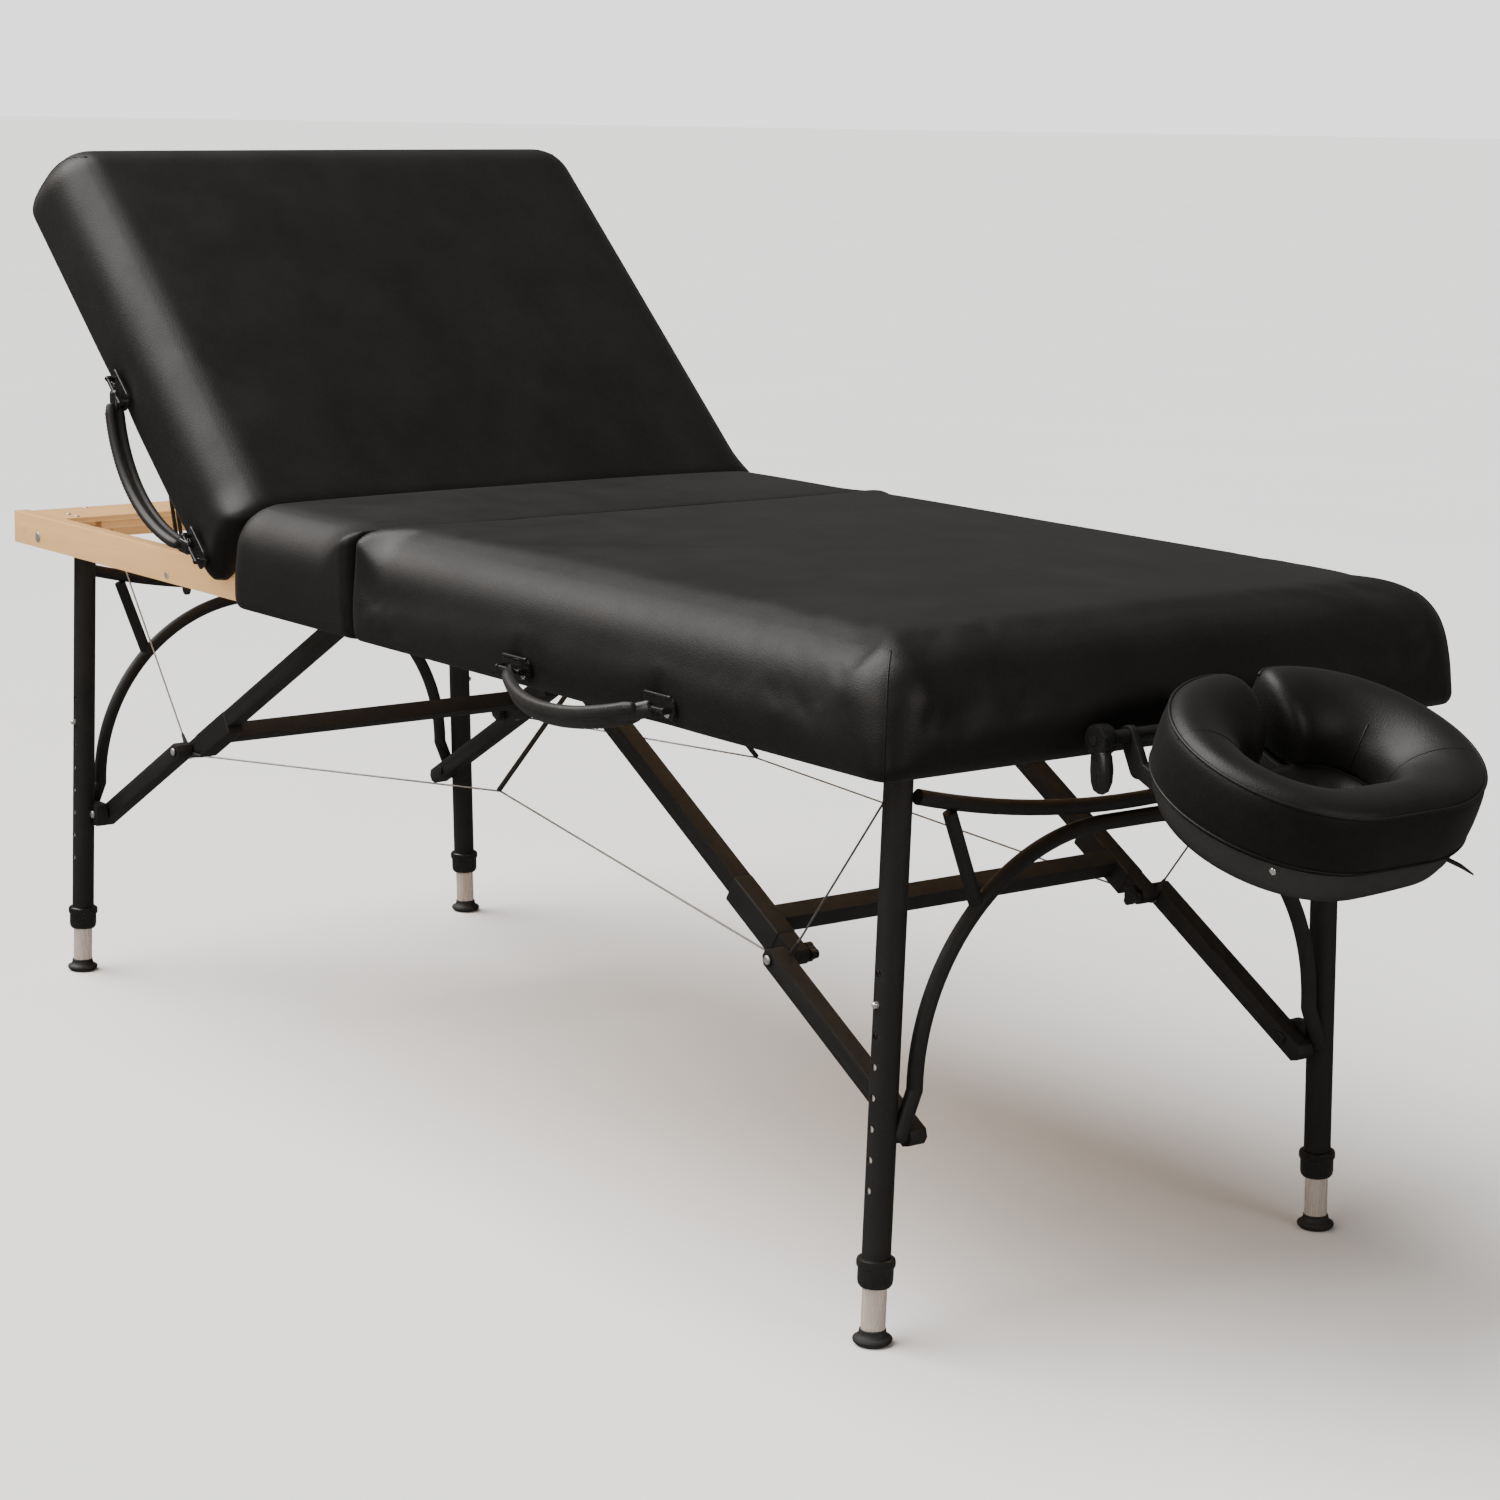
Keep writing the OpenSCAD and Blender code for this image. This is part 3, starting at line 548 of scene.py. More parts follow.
def pad(name, x, radius_x, cavity_x, to, dimples=(), step=8.5):
    """An upholstered slab from x[0] to x[1] with its sides pulled down over the rails, drawn flat.
    radius_x is the top edge's rounding at the two ends, and cavity_x how far the hollow for the frame runs."""
    top_r, corner_r = 56.0, 32.0
    inner = RAIL_Y + 3
    xs = lines(x[0], x[1], step, *cavity_x)
    ys = lines(-HALF_W, HALF_W, step, -inner, -inner + 3, inner - 3, inner)
    zs = lines(UNDER, TOP, 8.0)
    co, faces = shell(xs, ys, zs)
    bottom = co[:, 2] < UNDER + 0.01
    inside_x = (co[:, 0] > cavity_x[0] - 0.01) & (co[:, 0] < cavity_x[-1] + 0.01)
    hollow = (co[:, 2] < PAD) & (np.abs(co[:, 1]) < inner - 0.5) & inside_x
    z = co[:, 2]
    high = smoothstep((z - UNDER) / (TOP - top_r / 2 - UNDER))
    core = co.copy()
    radius = np.ones_like(co)
    for axis, low, high_end, r_low, r_high in ((0, x[0], x[1], radius_x[0], radius_x[1]),
                                               (1, -HALF_W, HALF_W, top_r, top_r)):
        mid = (low + high_end) / 2
        r = np.where(co[:, axis] < mid, r_low, r_high)
        r = np.minimum(corner_r, r) + (r - np.minimum(corner_r, r)) * high
        core[:, axis] = np.clip(co[:, axis], low + r, high_end - r)
        radius[:, axis] = r
    near = np.minimum(co[:, 0] - x[0], x[1] - co[:, 0])
    end_r = np.where(co[:, 0] < (x[0] + x[1]) / 2, radius_x[0], radius_x[1])
    rz = np.minimum(end_r, top_r) + (top_r - np.minimum(end_r, top_r)) * smoothstep(near / 70)
    rz_low = 5.0
    core[:, 2] = np.clip(z, UNDER + rz_low, TOP - rz)
    radius[:, 2] = np.where(z > (UNDER + TOP) / 2, rz, rz_low)
    q = (co - core) / radius
    length = np.linalg.norm(q, axis=1, keepdims=True)
    biggest = np.abs(q).max(1, keepdims=True)
    co = np.where(length > 1e-9, core + q / np.maximum(length, 1e-9) * biggest * radius, co)
    co[hollow, 2] = PAD + 0.2
    ring = bottom & ~hollow
    co[ring, 2] = UNDER + 0.3
    # crown of the top and the soft pull of the sides
    cx = (co[:, 0] - x[0]) / (x[1] - x[0]) * 2 - 1
    cy = co[:, 1] / HALF_W
    upper = smoothstep((co[:, 2] - (TOP - 30)) / 30)
    co[:, 2] += 6.0 * upper * (1 - np.abs(cx) ** 3) * (1 - np.abs(cy) ** 3)
    side = (np.abs(co[:, 1]) > HALF_W - 12) & ~bottom
    co[:, 1] -= np.where(side, np.sign(co[:, 1]) * 3.0 * smoothstep((UNDER + 46 - co[:, 2]) / 46), 0)
    for dx, dz in dimples:
        d = np.hypot((co[:, 0] - dx) / 34, (co[:, 2] - dz) / 24)
        co[:, 1] += np.where(co[:, 1] < -HALF_W + 25, 5.0 * np.exp(-d * d), 0)
    o = mesh_object(name, to(co), faces, VINYL)
    outward(o)
    pins = np.where(bottom | hollow, 1.0, smoothstep((UNDER + 22 - co[:, 2]) / 22) * 0.9)
    return o, pins


def inflate(o, pins, pressure, cap, frames=14):
    """Cloth with pressure, applied to the mesh. No point moves further than cap (metres)."""
    before = coords_of(o)
    group = o.vertex_groups.new(name="pin")
    for weight in np.unique(np.round(pins, 1)):
        if weight > 0:
            chosen = np.nonzero(np.abs(np.round(pins, 1) - weight) < 0.01)[0]
            group.add([int(i) for i in chosen], float(weight), "REPLACE")
    m = o.modifiers.new("cloth", "CLOTH")
    s = m.settings
    s.quality, s.mass, s.use_pressure, s.uniform_pressure_force = 4, 0.35, True, pressure
    s.tension_stiffness = s.compression_stiffness = 25
    s.shear_stiffness, s.bending_stiffness = 10, 1.5
    s.vertex_group_mass, s.pin_stiffness = "pin", 2.0
    s.effector_weights.gravity = 0
    m.collision_settings.use_collision = False
    for f in range(1, frames + 1):
        scene.frame_set(f)
    graph = bpy.context.evaluated_depsgraph_get()
    after = np.zeros(len(before) * 3)
    o.evaluated_get(graph).data.vertices.foreach_get("co", after)
    after = after.reshape(-1, 3)
    o.modifiers.clear()
    o.vertex_groups.clear()
    scene.frame_set(1)
    if not np.isfinite(after).all():
        return
    d = after - before
    length = np.linalg.norm(d, axis=1, keepdims=True)
    move = cap * np.tanh(length / cap)
    set_coords(o, before + d / np.maximum(length, 1e-9) * move)


def on_surface(o, points, lift=0.0003):
    """Points moved onto the piece's surface, for seams and piping."""
    me = o.data
    tree = BVHTree.FromPolygons([v.co for v in me.vertices], [p.vertices for p in me.polygons])
    found = []
    for p in points:
        hit, normal, _, _ = tree.find_nearest(Vector(p))
        found.append(hit + normal * lift)
    return np.array([tuple(p) for p in found])


def seam(name, cushion, points, radius=0.0011, lift=0.0):
    pts = np.array([tuple(p) for p in points])
    d = np.r_[0, np.cumsum(np.linalg.norm(np.diff(pts, axis=0), axis=1))]
    n = max(12, int(d[-1] / 0.005))
    even = np.array([[np.interp(t, d, pts[:, a]) for a in range(3)] for t in np.linspace(0, d[-1], n)])
    on = on_surface(cushion, even, lift)
    for _ in range(2):
        on[1:-1] = (on[:-2] + on[1:-1] * 2 + on[2:]) / 4
    return tube(name, on, radius, VINYL, 8, lift=(0.31, 0.17, 0.94))


def corner_seams(cushion, x_end, to, body, prefix):
    """The two vertical seams at an end's corners, from the top's rounding to the lower edge."""
    parts = []
    for side in (-1, 1):
        out = 1 if x_end > 0 else -1
        pts = [to(np.array([x_end - out * a, side * (HALF_W - a), z])) for a, z in
               ((38, 684), (22, 675), (14, 661), (11, 640), (9.5, 610), (9, 585), (9.5, 567))]
        parts.append(seam(f"{prefix}_corner_seam_{side}", cushion, pts))
    o = joined(prefix + "_corner_seams", parts)
    return finish_piece(o, body, "black_vinyl")


front_pad, front_pins = pad("front_pad", (0.2, HALF_L), (5.0, 56.0), (0.6, 899.0), placed,
                            [(x, HANDLE_Z + 8) for x in HANDLE_X])
inflate(front_pad, front_pins, 3.0, 0.006)
subdivide(front_pad)
finish_piece(front_pad, "front_half", "black_vinyl", "front_cushion")
corner_seams(front_pad, HALF_L, placed, "front_half", "front_pad")

fixed_pad, fixed_pins = pad("fixed_pad", (-279.4, -0.6), (46.0, 5.0), (-279.4, -1.8), placed)
inflate(fixed_pad, fixed_pins, 3.0, 0.005)
subdivide(fixed_pad)
finish_piece(fixed_pad, "back_half", "black_vinyl", "back_cushion")

back_pad, back_pins = pad("backrest_pad", (-HALF_L, -297.0), (56.0, 24.0), (-899.0, -297.0), lifted,
                          [(-x, HANDLE_Z + 8) for x in HANDLE_X])
inflate(back_pad, back_pins, 3.0, 0.006)
subdivide(back_pad)
P(-296, 0, 650, lifted)
P(-345, 0, 650, lifted)
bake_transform(back_pad)
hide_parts("backrest_cushion")
corner_seams(back_pad, -HALF_L, lifted, "backrest", "backrest_pad")


# ---- face cushion ----

MID_R, MID_SIDE, IN_R, IN_SIDE, SLOT = 85.5, 34.5, 44.0, 34.0, 12.0


def horseshoe(s):
    """Middle line of the pad at s in 0..1, from the slot's +y side round to its -y side: point and outward normal."""
    r, side = MID_R, MID_SIDE
    arc = r * math.pi
    straight = 2 * side
    # counted along: half straight at -x (y from the slot to side), arc round +y, straight at +x, arc round -y, half straight
    lead = side - SLOT
    total = lead * 2 + 2 * arc + straight
    d = s * total
    if d <= lead:
        return (-r, SLOT + d), (-1.0, 0.0)
    d -= lead
    if d <= arc:
        a = math.pi - d / r
        return (r * math.cos(a), side + r * math.sin(a)), (math.cos(a), math.sin(a))
    d -= arc
    if d <= straight:
        return (r, side - d), (1.0, 0.0)
    d -= straight
    if d <= arc:
        a = -d / r
        return (r * math.cos(a), -side + r * math.sin(a)), (math.cos(a), math.sin(a))
    d -= arc
    return (-r, -side + d), (-1.0, 0.0)


# outline of the section: distance from the middle line and height, from the inner lower edge up, over and down
SECTION = [(-41, -71.5), (-41.5, -62), (-41.3, -52), (-40, -43), (-37, -34.5), (-32.5, -27), (-26.5, -20.2),
           (-18.5, -13.6), (-9, -7.8), (1, -3.6), (11, -1.2), (21, -0.8), (29.5, -2.4), (36, -6.4), (39.8, -12.5),
           (41.2, -20), (41.8, -32), (41.8, -45), (41.2, -57), (39.6, -67), (36.5, -71.5), (18, -72), (0, -72),
           (-20, -72)]


def face_point(s, n, z):
    (px, py), (nx, ny) = horseshoe(s)
    return np.array([px + nx * n, py + ny * n, z])


def face_pad():
    rings, tip, middle = 120, 20.0, -36.0
    co = []
    length = 2 * (MID_SIDE - SLOT) + 2 * MID_R * math.pi + 2 * MID_SIDE
    for i in range(rings):
        # rings crowd together at the ends, where the section shrinks into a rounded tip
        t = i / (rings - 1)
        d = min(t, 1 - t) * length
        k = math.sqrt(max(0.0, 1 - max(0.0, (tip - d) / tip) ** 2)) if d < tip else 1.0
        k = 0.30 + 0.70 * k
        for n, z in SECTION:
            co.append(face_point(t, n * k, middle + (z - middle) * (0.55 + 0.45 * k)))
    o = mesh_object("face_pad", on_face(co), skin(rings, len(SECTION)), VINYL)
    outward(o)
    low = np.array([c[2] for c in co]) < -66
    return o, np.where(low, 1.0, 0.0)


face, face_pins = face_pad()
inflate(face, face_pins, 2.5, 0.004)
subdivide(face)


def face_line(n, z, s0, s1, count=160):
    return [Vector(on_face(face_point(s0 + (s1 - s0) * i / (count - 1), n, z))) for i in range(count)]


def face_rib(s):
    """A seam across the pad from its inner lower edge to the outer piping."""
    return [Vector(on_face(face_point(s, n, z))) for n, z in SECTION[1:15]]


seams = [seam("face_outer_piping", face, face_line(38.6, -9.6, 0.004, 0.996), 0.0018, 0.0007),
         seam("face_lower_piping", face, face_line(39.6, -66, 0.004, 0.996), 0.0013, 0.0004)]
seams += [seam(f"face_rib_{i}", face, face_rib(s), 0.0010, 0.0) for i, s in enumerate((0.31, 0.80))]
seams.append(seam("face_inner_seam", face, face_rib(0.17)[:6], 0.0010, 0.0))
face_seams = joined("face_pad_seams", seams)
finish_piece(face, "cradle_head", "black_vinyl", "face_cushion")
finish_piece(face_seams, "cradle_head", "black_vinyl")


def face_liner_and_hole_shade():
    """The dark cloth ledge at the foot of the face hole, reaching far in over the opening, partly a dark piece put in
    as the shade down the hole, and the tail of the strap that holds the pad on.
    """
    co, n = [], 72
    # the section runs in to a radius of 22 mm, narrowing the hole so it shows dark vinyl instead of the floor below:
    # partly a dark piece standing in for shade
    section = [(-3.0, -68.0), (4.0, -69.0), (12.0, -73.0), (21.0, -79.5), (22.0, -81.0), (8.0, -79.0), (-3.0, -76.0)]
    for inset, z in section:
        r = IN_R - inset
        for i in range(n):
            a = 2 * math.pi * i / n
            apart = math.copysign(IN_SIDE, math.sin(a)) * min(1.0, abs(math.sin(a)) * 8)
            co.append((r * math.cos(a), apart + r * math.sin(a), z))
    ring = mesh_object("liner", on_face(np.array(co)), skin(len(section), n, True), VINYL)
    outward(ring)
    tail = tube("tail", [on_face(np.array(p)) for p in ((96, 62, -74), (112, 74, -75), (124, 86, -78), (132, 96, -83))],
                0.0065, MATTE, 14, taper=[1.0, 1.1, 1.0, 0.5], squash=0.25, lift=(0, 0, 1))
    finish_piece(joined("face_hole_liner_and_shade", [ring, tail]), "cradle_head", "black_matte_plastic")
    for i, (x, y) in enumerate(((20, -149), (-40, -139), (84, -118))):
        head = lathe(f"platform_screw_{i}", domed(4.6, 3.2), CHROME, P(x, y, -78, on_face),
                     Vector(on_face(np.array([0, -1.0, -0.5]))) - Vector(on_face(np.array([0, 0.0, 0]))), 20)
        finish_piece(head, "cradle_head", "bright_steel")


face_liner_and_hole_shade()


def face_tray():
    """The moulded rim below the pad, deepest on the near side and the front."""
    section = [(15, -71.0), (16, -84), (19, -97), (24, -104), (29, -102), (33, -91), (35, -80), (35.5, -71.0)]
    co, rings = [], 72
    for i in range(rings):
        t = i / (rings - 1)
        k = 0.25 + 0.75 * math.sqrt(math.sin(math.pi * min(max(t, 0.004), 0.996)))
        for n, z in section:
            co.append(face_point(0.30 + 0.56 * t, n, -71 + (z + 71) * k))
    tray = mesh_object("face_tray", on_face(np.array(co)), skin(rings, len(section)), MATTE)
    outward(tray)
    smooth_by_angle(tray, 50)
    finish_piece(tray, "cradle_head", "black_matte_plastic")


face_tray()


# ---- wood ----

def board(name, low, high, mat, body):
    """A planed board with eased edges, from corner to corner about the fold, in mm."""
    a, b = np.minimum(low, high), np.maximum(low, high)
    xs, ys, zs = (lines(a[i], b[i], max(20.0, (b[i] - a[i]) / 24)) for i in range(3))
    co, faces = shell(xs, ys, zs)
    o = mesh_object(name, placed(co), faces, mat)
    outward(o)
    m = o.modifiers.new("edges", "BEVEL")
    m.width, m.segments, m.limit_method = 0.0015, 3, "ANGLE"
    apply_modifiers(o)
    smooth_by_angle(o, 30)
    return finish_piece(o, body, "rail_wood")


def screw(name, at, axis, body, r=4.0, mat=ZINC, slot="zinc_steel"):
    profile = [(r * 0.5, -2.0), (r, -0.2), (r, 0.3), (r * 0.86, 0.75), (r * 0.34, 0.9), (r * 0.3, 0.2), (0.2, 0.1)]
    return finish_piece(lathe(name, profile, mat, at, axis, 20), body, slot)


def frame_boards(end, body):
    s = 1 if end == "front" else -1
    last = 897.0 if s > 0 else 902.0
    inner = RAIL_Y - RAIL_T - 0.2
    top = DECK if s > 0 else DECK - 9.2
    rails = [board(f"{end}_rail_{t}", (s * 2, t * RAIL_Y, UNDER), (s * last, t * (RAIL_Y - RAIL_T), DECK),
                   MAPLE_X, body) for t in (-1, 1)]
    board(f"{end}_fold_rail", (s * 2, -inner, UNDER), (s * 22, inner, DECK), MAPLE_Y, body)
    board(f"{end}_end_rail", (s * (last - 20), -inner, UNDER), (s * last, inner, top), MAPLE_Y, body)
    for x, low, name in ((LEG_X, LEG_Z + 6, "leg"), (UPPER_X - 35, UNDER + 11, "brace")):
        board(f"{end}_{name}_member", (s * (x - 10), -262, low), (s * (x + 10), 262, top - 0.2), MAPLE_Y, body)
    if s < 0:
        board("back_end_board", (-last, -inner, DECK - 9), (-(last - 95), inner, DECK - 1.8), MAPLE_Y, body)
    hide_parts(end + "_frame")


frame_boards("front", "front_half")
frame_boards("back", "back_half")
for i, y in enumerate((-250, -90, 90, 250)):
    screw(f"end_board_screw_{i}", P(-892, y, DECK - 1.8), (0, 0, 1), "back_half", 3.4)
for i, (x, y) in enumerate(((-815, -300), (-815, 300), (-840, -300), (-840, 300))):
    screw(f"end_board_side_screw_{i}", P(x, y, DECK - 0.9), (0, 0, 1), "back_half", 3.4)
plug = lathe("rail_plug", [(7, -1.5), (7, 0.1), (6.6, 0.35), (0.3, 0.4)], MAPLE_Y,
             P(-874, -RAIL_Y, 586), (0, -1, 0), 26)
finish_piece(plug, "back_half", "rail_wood")

for node in ("front_deck_panel", "back_deck_panel", "backrest_board"):
    paint(node, PLY)


# ---- metal and plastic from the CAD ----

def leg_ends(end, side):
    """The collar with its rolled lip at the outer tube's end, and the flared rubber foot."""
    s, t = (1 if end == "front" else -1), (-1 if side == "right" else 1)
    tilt = math.atan(17.0 / LEG_Z)
    axis = Vector((0, -t * math.sin(tilt), math.cos(tilt)))
    base = P(s * LEG_X, t * LEG_Y, LEG_Z) - axis * (LEG_Z - 57.0) / 1000
    collar = lathe(f"{end}_{side}_collar", [(12.4, 0), (14.8, -0.2), (16.6, 2.2), (17.3, 6), (17.3, 18.2), (18.2, 19.2),
                                            (18.9, 21), (18.9, 25), (18.3, 27), (16.6, 28.2), (14.3, 28.4)],
                   GLOSS, base, axis, 36)
    finish_piece(collar, end + "_legs", "black_gloss_plastic")
    if side == "right":
        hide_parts(end + "_leg_collars")
    foot = lathe(f"{end}_{side}_foot_cap", [(13.5, 0), (16.6, 0.5), (18.8, 2.6), (19.4, 5), (18.6, 6.6), (16, 7.6),
                                            (14.2, 9.4), (13.3, 12), (13.1, 14.5), (12.1, 15)],
                 RUBBER, P(s * LEG_X, t * (LEG_Y + 17.0), 0), (0, 0, 1), 36)
    finish_piece(foot, f"{end}_{side}_foot_leg", "foot_rubber", f"{end}_{side}_foot")


def bolt_head(name, x, y, z, body, r=6.0, h=4.0):
    head = lathe(name, domed(r, h, 0.8), ZINC, P(x, y, z), (0, -1 if y < 0 else 1, 0), 24)
    finish_piece(head, body, "zinc_steel")


for end, s in (("front", 1), ("back", -1)):
    for t in (-1, 1):
        n = f"{end}_{'right' if t < 0 else 'left'}"
        bolt_head(n + "_joint_bolt", s * JOINT_X, t * 269.6, JOINT_Z, end + "_lower_brace_pair", 4.8, 2.6)
        bolt_head(n + "_knee_bolt", s * KNEE_X, t * 286.0, KNEE_Z, end + "_legs", 5.4, 3.2)
        bolt_head(n + "_leg_bolt", s * LEG_X, t * 347.2, LEG_Z, end + "_half", 6.6, 1.8)

for end in ("front", "back"):
    half = end + "_half"
    legs = end + "_legs"
    for side in ("right", "left"):
        n = f"{end}_{side}"
        paint(n + "_leg_tube", POWDER)
        paint(n + "_inner_leg", ALUMINIUM)
        leg_ends(end, side)
        refined(n + "_knob", n + "_knob", GLOSS, "black_gloss_plastic", 0.0018, 3)
        paint(n + "_button", CHROME)
    paint(end + "_leg_arch", POWDER)
    refined(end + "_brace_brackets", legs, POWDER, "black_powder_coat", 0.001, 2)
    refined(end + "_upper_braces", end + "_upper_brace_frame", POWDER, "black_powder_coat", 0.0022, 3)
    refined(end + "_lower_braces", end + "_lower_brace_pair", POWDER, "black_powder_coat", 0.0022, 3)
    paint(end + "_hinge_leaves", ZINC)
    paint(end + "_pivot_bolts", ZINC)
paint("fold_hinge_pin", ZINC)
paint("fold_stays", BLACK_STEEL)
paint("backrest_hinge_pins", ZINC)
paint("backrest_hinge_leaves", ZINC)
refined("backrest_props", "backrest_prop", BLACK_STEEL, "black_steel", 0.0008, 2)
paint("cradle_sockets", CHROME)
paint("cradle_arms", BLACK_STEEL)
refined("cradle_links", "cradle_link_frame", BLACK_STEEL, "black_steel", 0.0012, 2)
shaft = (HALF_L + 18, UNDER + 21)
hub = lathe("hub", [(12, -8.5), (14.4, -7.5), (15, -5.5), (15, 5.5), (14.4, 7.5), (12, 8.5)], GLOSS,
            P(shaft[0], -136, shaft[1]), (0, 1, 0), 36)
paddle = tube("paddle", [P(shaft[0] + x, -138 + y, shaft[1] + z) for x, y, z in
                         ((2, 0, -6), (4, 0, -16), (6, -1, -27), (8, -2.5, -38), (9, -4, -46), (9, -4.6, -49))],
              0.0125, GLOSS, 24, taper=[0.8, 1.0, 1.08, 1.0, 0.72, 0.25], squash=0.62, lift=(0, 1, 0))
finish_piece(joined("cam_lever_body", [hub, paddle]), "cam_lever", "black_gloss_plastic", "cradle_lever")
for i, (y, z) in enumerate(((-126, 8), (-104, -8))):
    screw(f"socket_screw_{i}", P(HALF_L + 2.2, y, UNDER + 21 + z), (1, 0, 0), "front_half", 2.6, CHROME, "bright_steel")
refined("cradle_platform", "cradle_head", MATTE, "black_matte_plastic", 0.002, 3)


def brace_sleeve(end, side):
    """The channel that stiffens the upper brace just before its joint."""
    s, t = (1 if end == "front" else -1), (-1 if side == "right" else 1)
    co, faces = shell(lines(-108, -22, 18), lines(-11.2, 11.4, 7), lines(-19.0, 10.9, 8))
    d = np.array([math.cos(BRACE_ANGLE), -math.sin(BRACE_ANGLE)])
    up = np.array([math.sin(BRACE_ANGLE), math.cos(BRACE_ANGLE)])
    x = JOINT_X + co[:, 0] * d[0] + co[:, 2] * up[0]
    z = JOINT_Z + co[:, 0] * d[1] + co[:, 2] * up[1]
    co = np.stack([s * x, t * (235 + co[:, 1]), z], 1)
    o = mesh_object(f"{end}_{side}_brace_sleeve", placed(co), faces, POWDER)
    outward(o)
    m = o.modifiers.new("edges", "BEVEL")
    m.width, m.segments, m.limit_method = 0.0022, 3, "ANGLE"
    apply_modifiers(o)
    smooth_by_angle(o, 30)
    finish_piece(o, end + "_upper_brace_frame", "black_powder_coat")


for end in ("front", "back"):
    for side in ("right", "left"):
        brace_sleeve(end, side)


# ---- handles ----

def handle(prefix, to, angle, mirror, body, node, bracket_body):
    """A padded grip in two rolls side by side, bent between two brackets, with stitched ends."""
    depth, chord = 42.0, HANDLE_X[1] - HANDLE_X[0]
    r = (chord * chord / 4 + depth * depth) / (2 * depth)
    half = math.asin(chord / 2 / r)
    mid = (HANDLE_X[0] + HANDLE_X[1]) / 2
    c, s = math.cos(angle), math.sin(angle)

    def at(t, out, across):
        """t runs from -1 to 1 along the arc, out is away from its centre and across is square to its plane."""
        a = t * half
        x = mid + (r + out) * math.sin(a)
        down = (r + out) * math.cos(a) - (r - depth)
        y = -down * s + across * c
        z = -down * c - across * s
        return to(np.array([mirror * x, HANDLE_Y + y, HANDLE_Z + z]))

    rows, segs, reach = 60, 22, 0.89
    co = []
    for i in range(rows):
        t = (-1 + 2 * i / (rows - 1)) * reach
        swell = 0.80 + 0.20 * smoothstep(np.array((reach - abs(t)) / 0.10)).item()
        for k in range(segs):
            a = 2 * math.pi * k / segs
            # two rolls with a groove between them on the faces
            wide = 13.0 * math.cos(a) * swell
            thick = 8.2 * math.sin(a) * (1 - 0.72 * math.exp(-(wide / 3.6) ** 2)) * swell
            co.append(at(t, thick, wide))
    grip = mesh_object(prefix + "_grip", co, skin(rows, segs), GRIP)
    outward(grip)
    subdivide(grip)
    finish_piece(grip, body, "handle_grip", node)
    tabs = [tube("tab", [at(e * q, 0, 0) for q in (1.0, 0.97, 0.92, 0.86, 0.82)], 0.0085, GLOSS, 16,
                 taper=[0.85, 1.0, 1.0, 1.0, 0.9], squash=0.42,
                 lift=to(np.array([0, 1.0, 0])) - to(np.array([0, 0.0, 0])))
            for e in (-1, 1)]
    finish_piece(joined(prefix + "_grip_tabs", tabs), body, "black_gloss_plastic")
    stitches = []
    for edge in (-11.6, 11.6):
        for i in range(46):
            t = -0.80 + 1.58 * i / 45
            a, b = at(t, 3.4, edge), at(t + 0.022, 3.4, edge)
            stitches.append(tube(f"{prefix}_stitch", np.array([a, (a + b) / 2, b]), 0.0005, THREAD, 6,
                                 taper=[0.5, 1.0, 0.5], lift=(0.2, 0.5, 0.8)))
    finish_piece(joined(prefix + "_stitching", stitches), body, "handle_grip")
    # brackets: a bent plate with a rolled lip and two rivets each
    made = []
    plate = ((-23, -11), (23, -11), (25, -7), (25, 9), (22, 12), (-22, 12), (-25, 9), (-25, -7))
    for x in HANDLE_X:
        co = []
        for y, k in ((-HALF_W + 0.6, 1.0), (-HALF_W - 1.8, 1.0), (-HALF_W - 2.6, 0.968)):
            for u, v in plate:
                co.append(to(np.array([mirror * (x + u * k), y, HANDLE_Z + v * k])))
        o = mesh_object("plate", co, skin(3, len(plate)), GLOSS)
        outward(o)
        smooth_by_angle(o, 30)
        made.append(o)
        lip = [to(np.array([mirror * (x + u), -HALF_W - 3.2, HANDLE_Z + 12.2])) for u in np.linspace(-22, 22, 12)]
        made.append(tube("lip", lip, 0.0019, GLOSS, 12, lift=(0.1, 0.9, 0.3)))
    body_plate = joined(prefix + "_bracket_plates", made)
    finish_piece(body_plate, bracket_body, "black_gloss_plastic")
    axis = Vector(to(np.array([0, -1.0, 0]))) - Vector(to(np.array([0, 0.0, 0])))
    for i, x in enumerate(HANDLE_X):
        for j, u in enumerate((-15.5, 15.5)):
            rivet = lathe(f"{prefix}_rivet_{i}_{j}", domed(3.6, 2.6), CHROME,
                          P(mirror * (x + u), -HALF_W - 2.5, HANDLE_Z - 5.0, to), axis, 22)
            finish_piece(rivet, bracket_body, "bright_steel")


handle("front_handle", placed, math.radians(60), 1, "front_handle_loop", "front_handle", "front_half")
handle("back_handle", lifted, math.radians(8), -1, "back_handle_loop", "back_handle", "backrest")
paint("front_handle_brackets", GLOSS)
paint("backrest_handle_brackets", GLOSS)


# ---- cables ----

def straight(a, b, n=24):
    return [a + (b - a) * i / (n - 1) for i in range(n)]


CABLE_R, CABLE_Y = 0.0011, 246.5


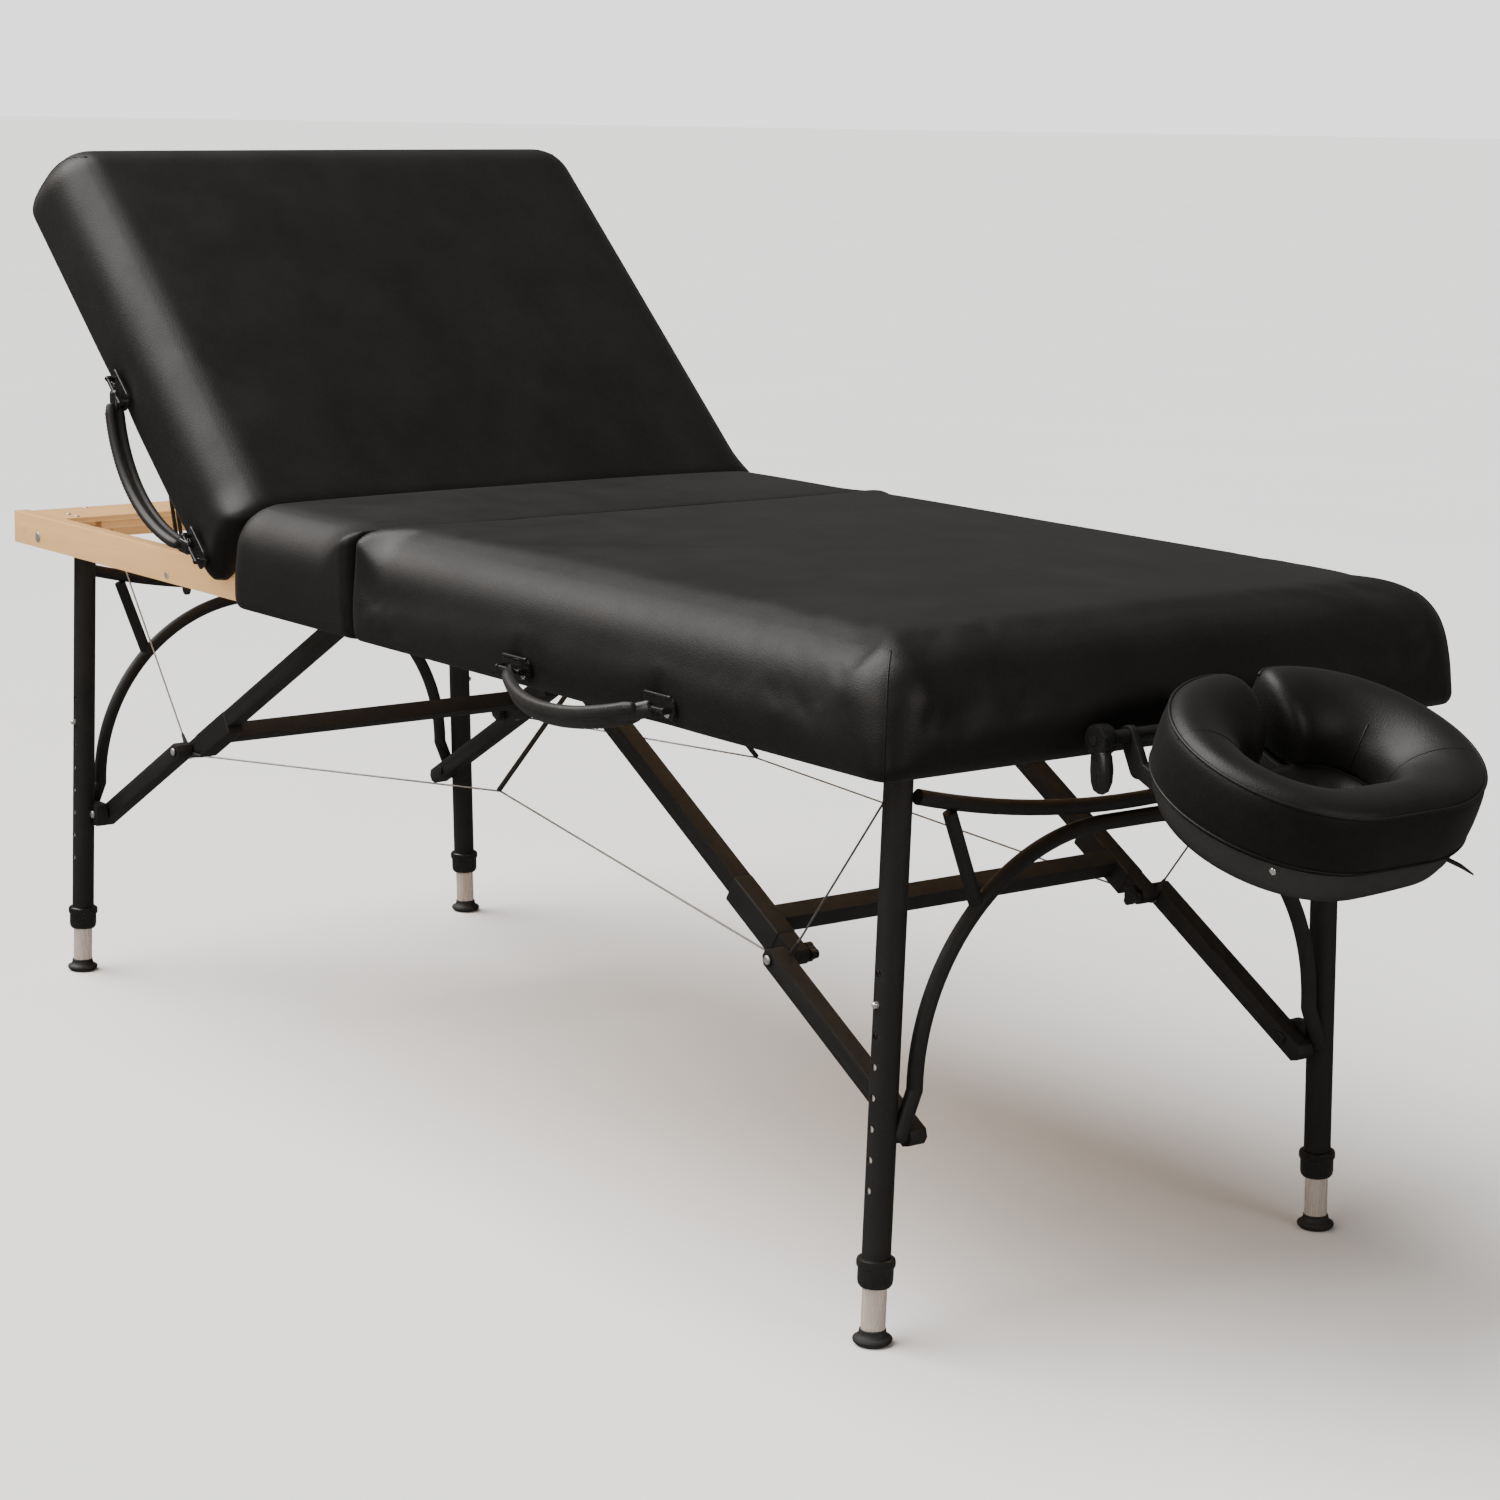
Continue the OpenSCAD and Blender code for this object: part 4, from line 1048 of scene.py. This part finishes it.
def cable_run(end, side):
    """One steel cable from the leg's top, through an eye at the brace joint, to the stay under the fold."""
    s = 1 if end == "front" else -1
    half, frame_body = end + "_half", end + "_upper_brace_frame"
    anchor = P(s * 826, side * CABLE_Y, LEG_Z + 4)
    eye = P(s * JOINT_X, side * CABLE_Y, JOINT_Z - 6)
    stay = P(s * 2, side * 181, 374)
    name = f"{end}_{'left' if side > 0 else 'right'}"
    run = joined(name + "_cable", [tube("part", straight(anchor, eye), CABLE_R, CABLE, 8),
                                   tube("part", straight(eye, stay, 40), CABLE_R, CABLE, 8)])
    finish_piece(run, half, "zinc_steel")
    P(0, 0, UNDER + 8)
    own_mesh(run)
    boots = []
    for toward in (anchor, stay):
        d = (toward - eye).normalized()
        pts = [eye + d * t for t in (0.004, 0.008, 0.02, 0.028, 0.031)]
        boots.append(tube(name + "_boot", pts, 0.0028, RUBBER, 12, taper=[1.1, 1.25, 0.95, 0.7, 0.5]))
    boots.append(lathe(name + "_eye", [(4.6, -2.4), (5.6, -1.8), (5.6, 1.8), (4.6, 2.4)], ZINC, eye, (0, 1, 0), 20))
    finish_piece(joined(name + "_cable_eye", boots), frame_body, "zinc_steel")
    return run


runs = [cable_run(end, side) for end in ("front", "back") for side in (-1, 1)]
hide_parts("side_cables")


# ---- stage and light ----

def stage_and_light():
    me = bpy.data.meshes.new("floor")
    r = 60.0
    me.from_pydata([(-r, -r, 0), (r, -r, 0), (r, r, 0), (-r, r, 0)], [], [(0, 1, 2, 3)])
    floor = bpy.data.objects.new("floor", me)
    floor.location.z = -0.0005
    scene.collection.objects.link(floor)
    n = Nodes("floor")
    n.set(Base_Color=n.ramp(n.noise(1.2, 2), [(0.3, (0.90, 0.898, 0.895)), (0.7, (0.925, 0.922, 0.92))]),
          Roughness=0.95, Specular_IOR_Level=0.0)
    me.materials.append(n.mat)
    floor.visible_glossy = False
    world = bpy.data.worlds.new("world")
    scene.world = world
    world.use_nodes = True
    tree = world.node_tree
    back = tree.nodes["Background"]
    back.inputs["Color"].default_value = (1.0, 0.95, 0.90, 1)
    back.inputs["Strength"].default_value = 0.11
    bright = tree.nodes.new("ShaderNodeBackground")
    bright.inputs["Color"].default_value = (1, 1, 1, 1)
    bright.inputs["Strength"].default_value = 1.95
    path = tree.nodes.new("ShaderNodeLightPath")
    mix = tree.nodes.new("ShaderNodeMixShader")
    tree.links.new(path.outputs["Is Camera Ray"], mix.inputs["Fac"])
    tree.links.new(back.outputs[0], mix.inputs[1])
    tree.links.new(bright.outputs[0], mix.inputs[2])
    tree.links.new(mix.outputs[0], tree.nodes["World Output"].inputs["Surface"])

    sun_data = bpy.data.lights.new("soft_sun", "SUN")
    sun_data.energy, sun_data.angle, sun_data.color = 6.4, math.radians(60), (1, 0.985, 0.97)
    sun = bpy.data.objects.new("soft_sun", sun_data)
    scene.collection.objects.link(sun)
    sun.rotation_euler = Vector((0.42, 0.42, -1)).to_track_quat("-Z", "Y").to_euler()

    def area(name, at, to, size, power, color=(1, 1, 1)):
        data = bpy.data.lights.new(name, "AREA")
        data.shape = "RECTANGLE"
        data.size, data.size_y = size
        data.energy, data.color = power, color
        o = bpy.data.objects.new(name, data)
        scene.collection.objects.link(o)
        o.location = at
        o.rotation_euler = (Vector(to) - Vector(at)).to_track_quat("-Z", "Y").to_euler()

    area("key", (1.2, -3.6, 2.2), (0, 0, 0.5), (2.4, 1.6), 44, (1, 0.92, 0.86))
    area("right", (4.2, 0.4, 1.8), (0.6, 0, 0.5), (1.8, 1.4), 30, (1, 0.91, 0.85))
    area("left_back", (-3.4, -1.4, 2.4), (-0.6, 0, 0.7), (1.4, 2.0), 16, (1, 0.9, 0.82))


stage_and_light()
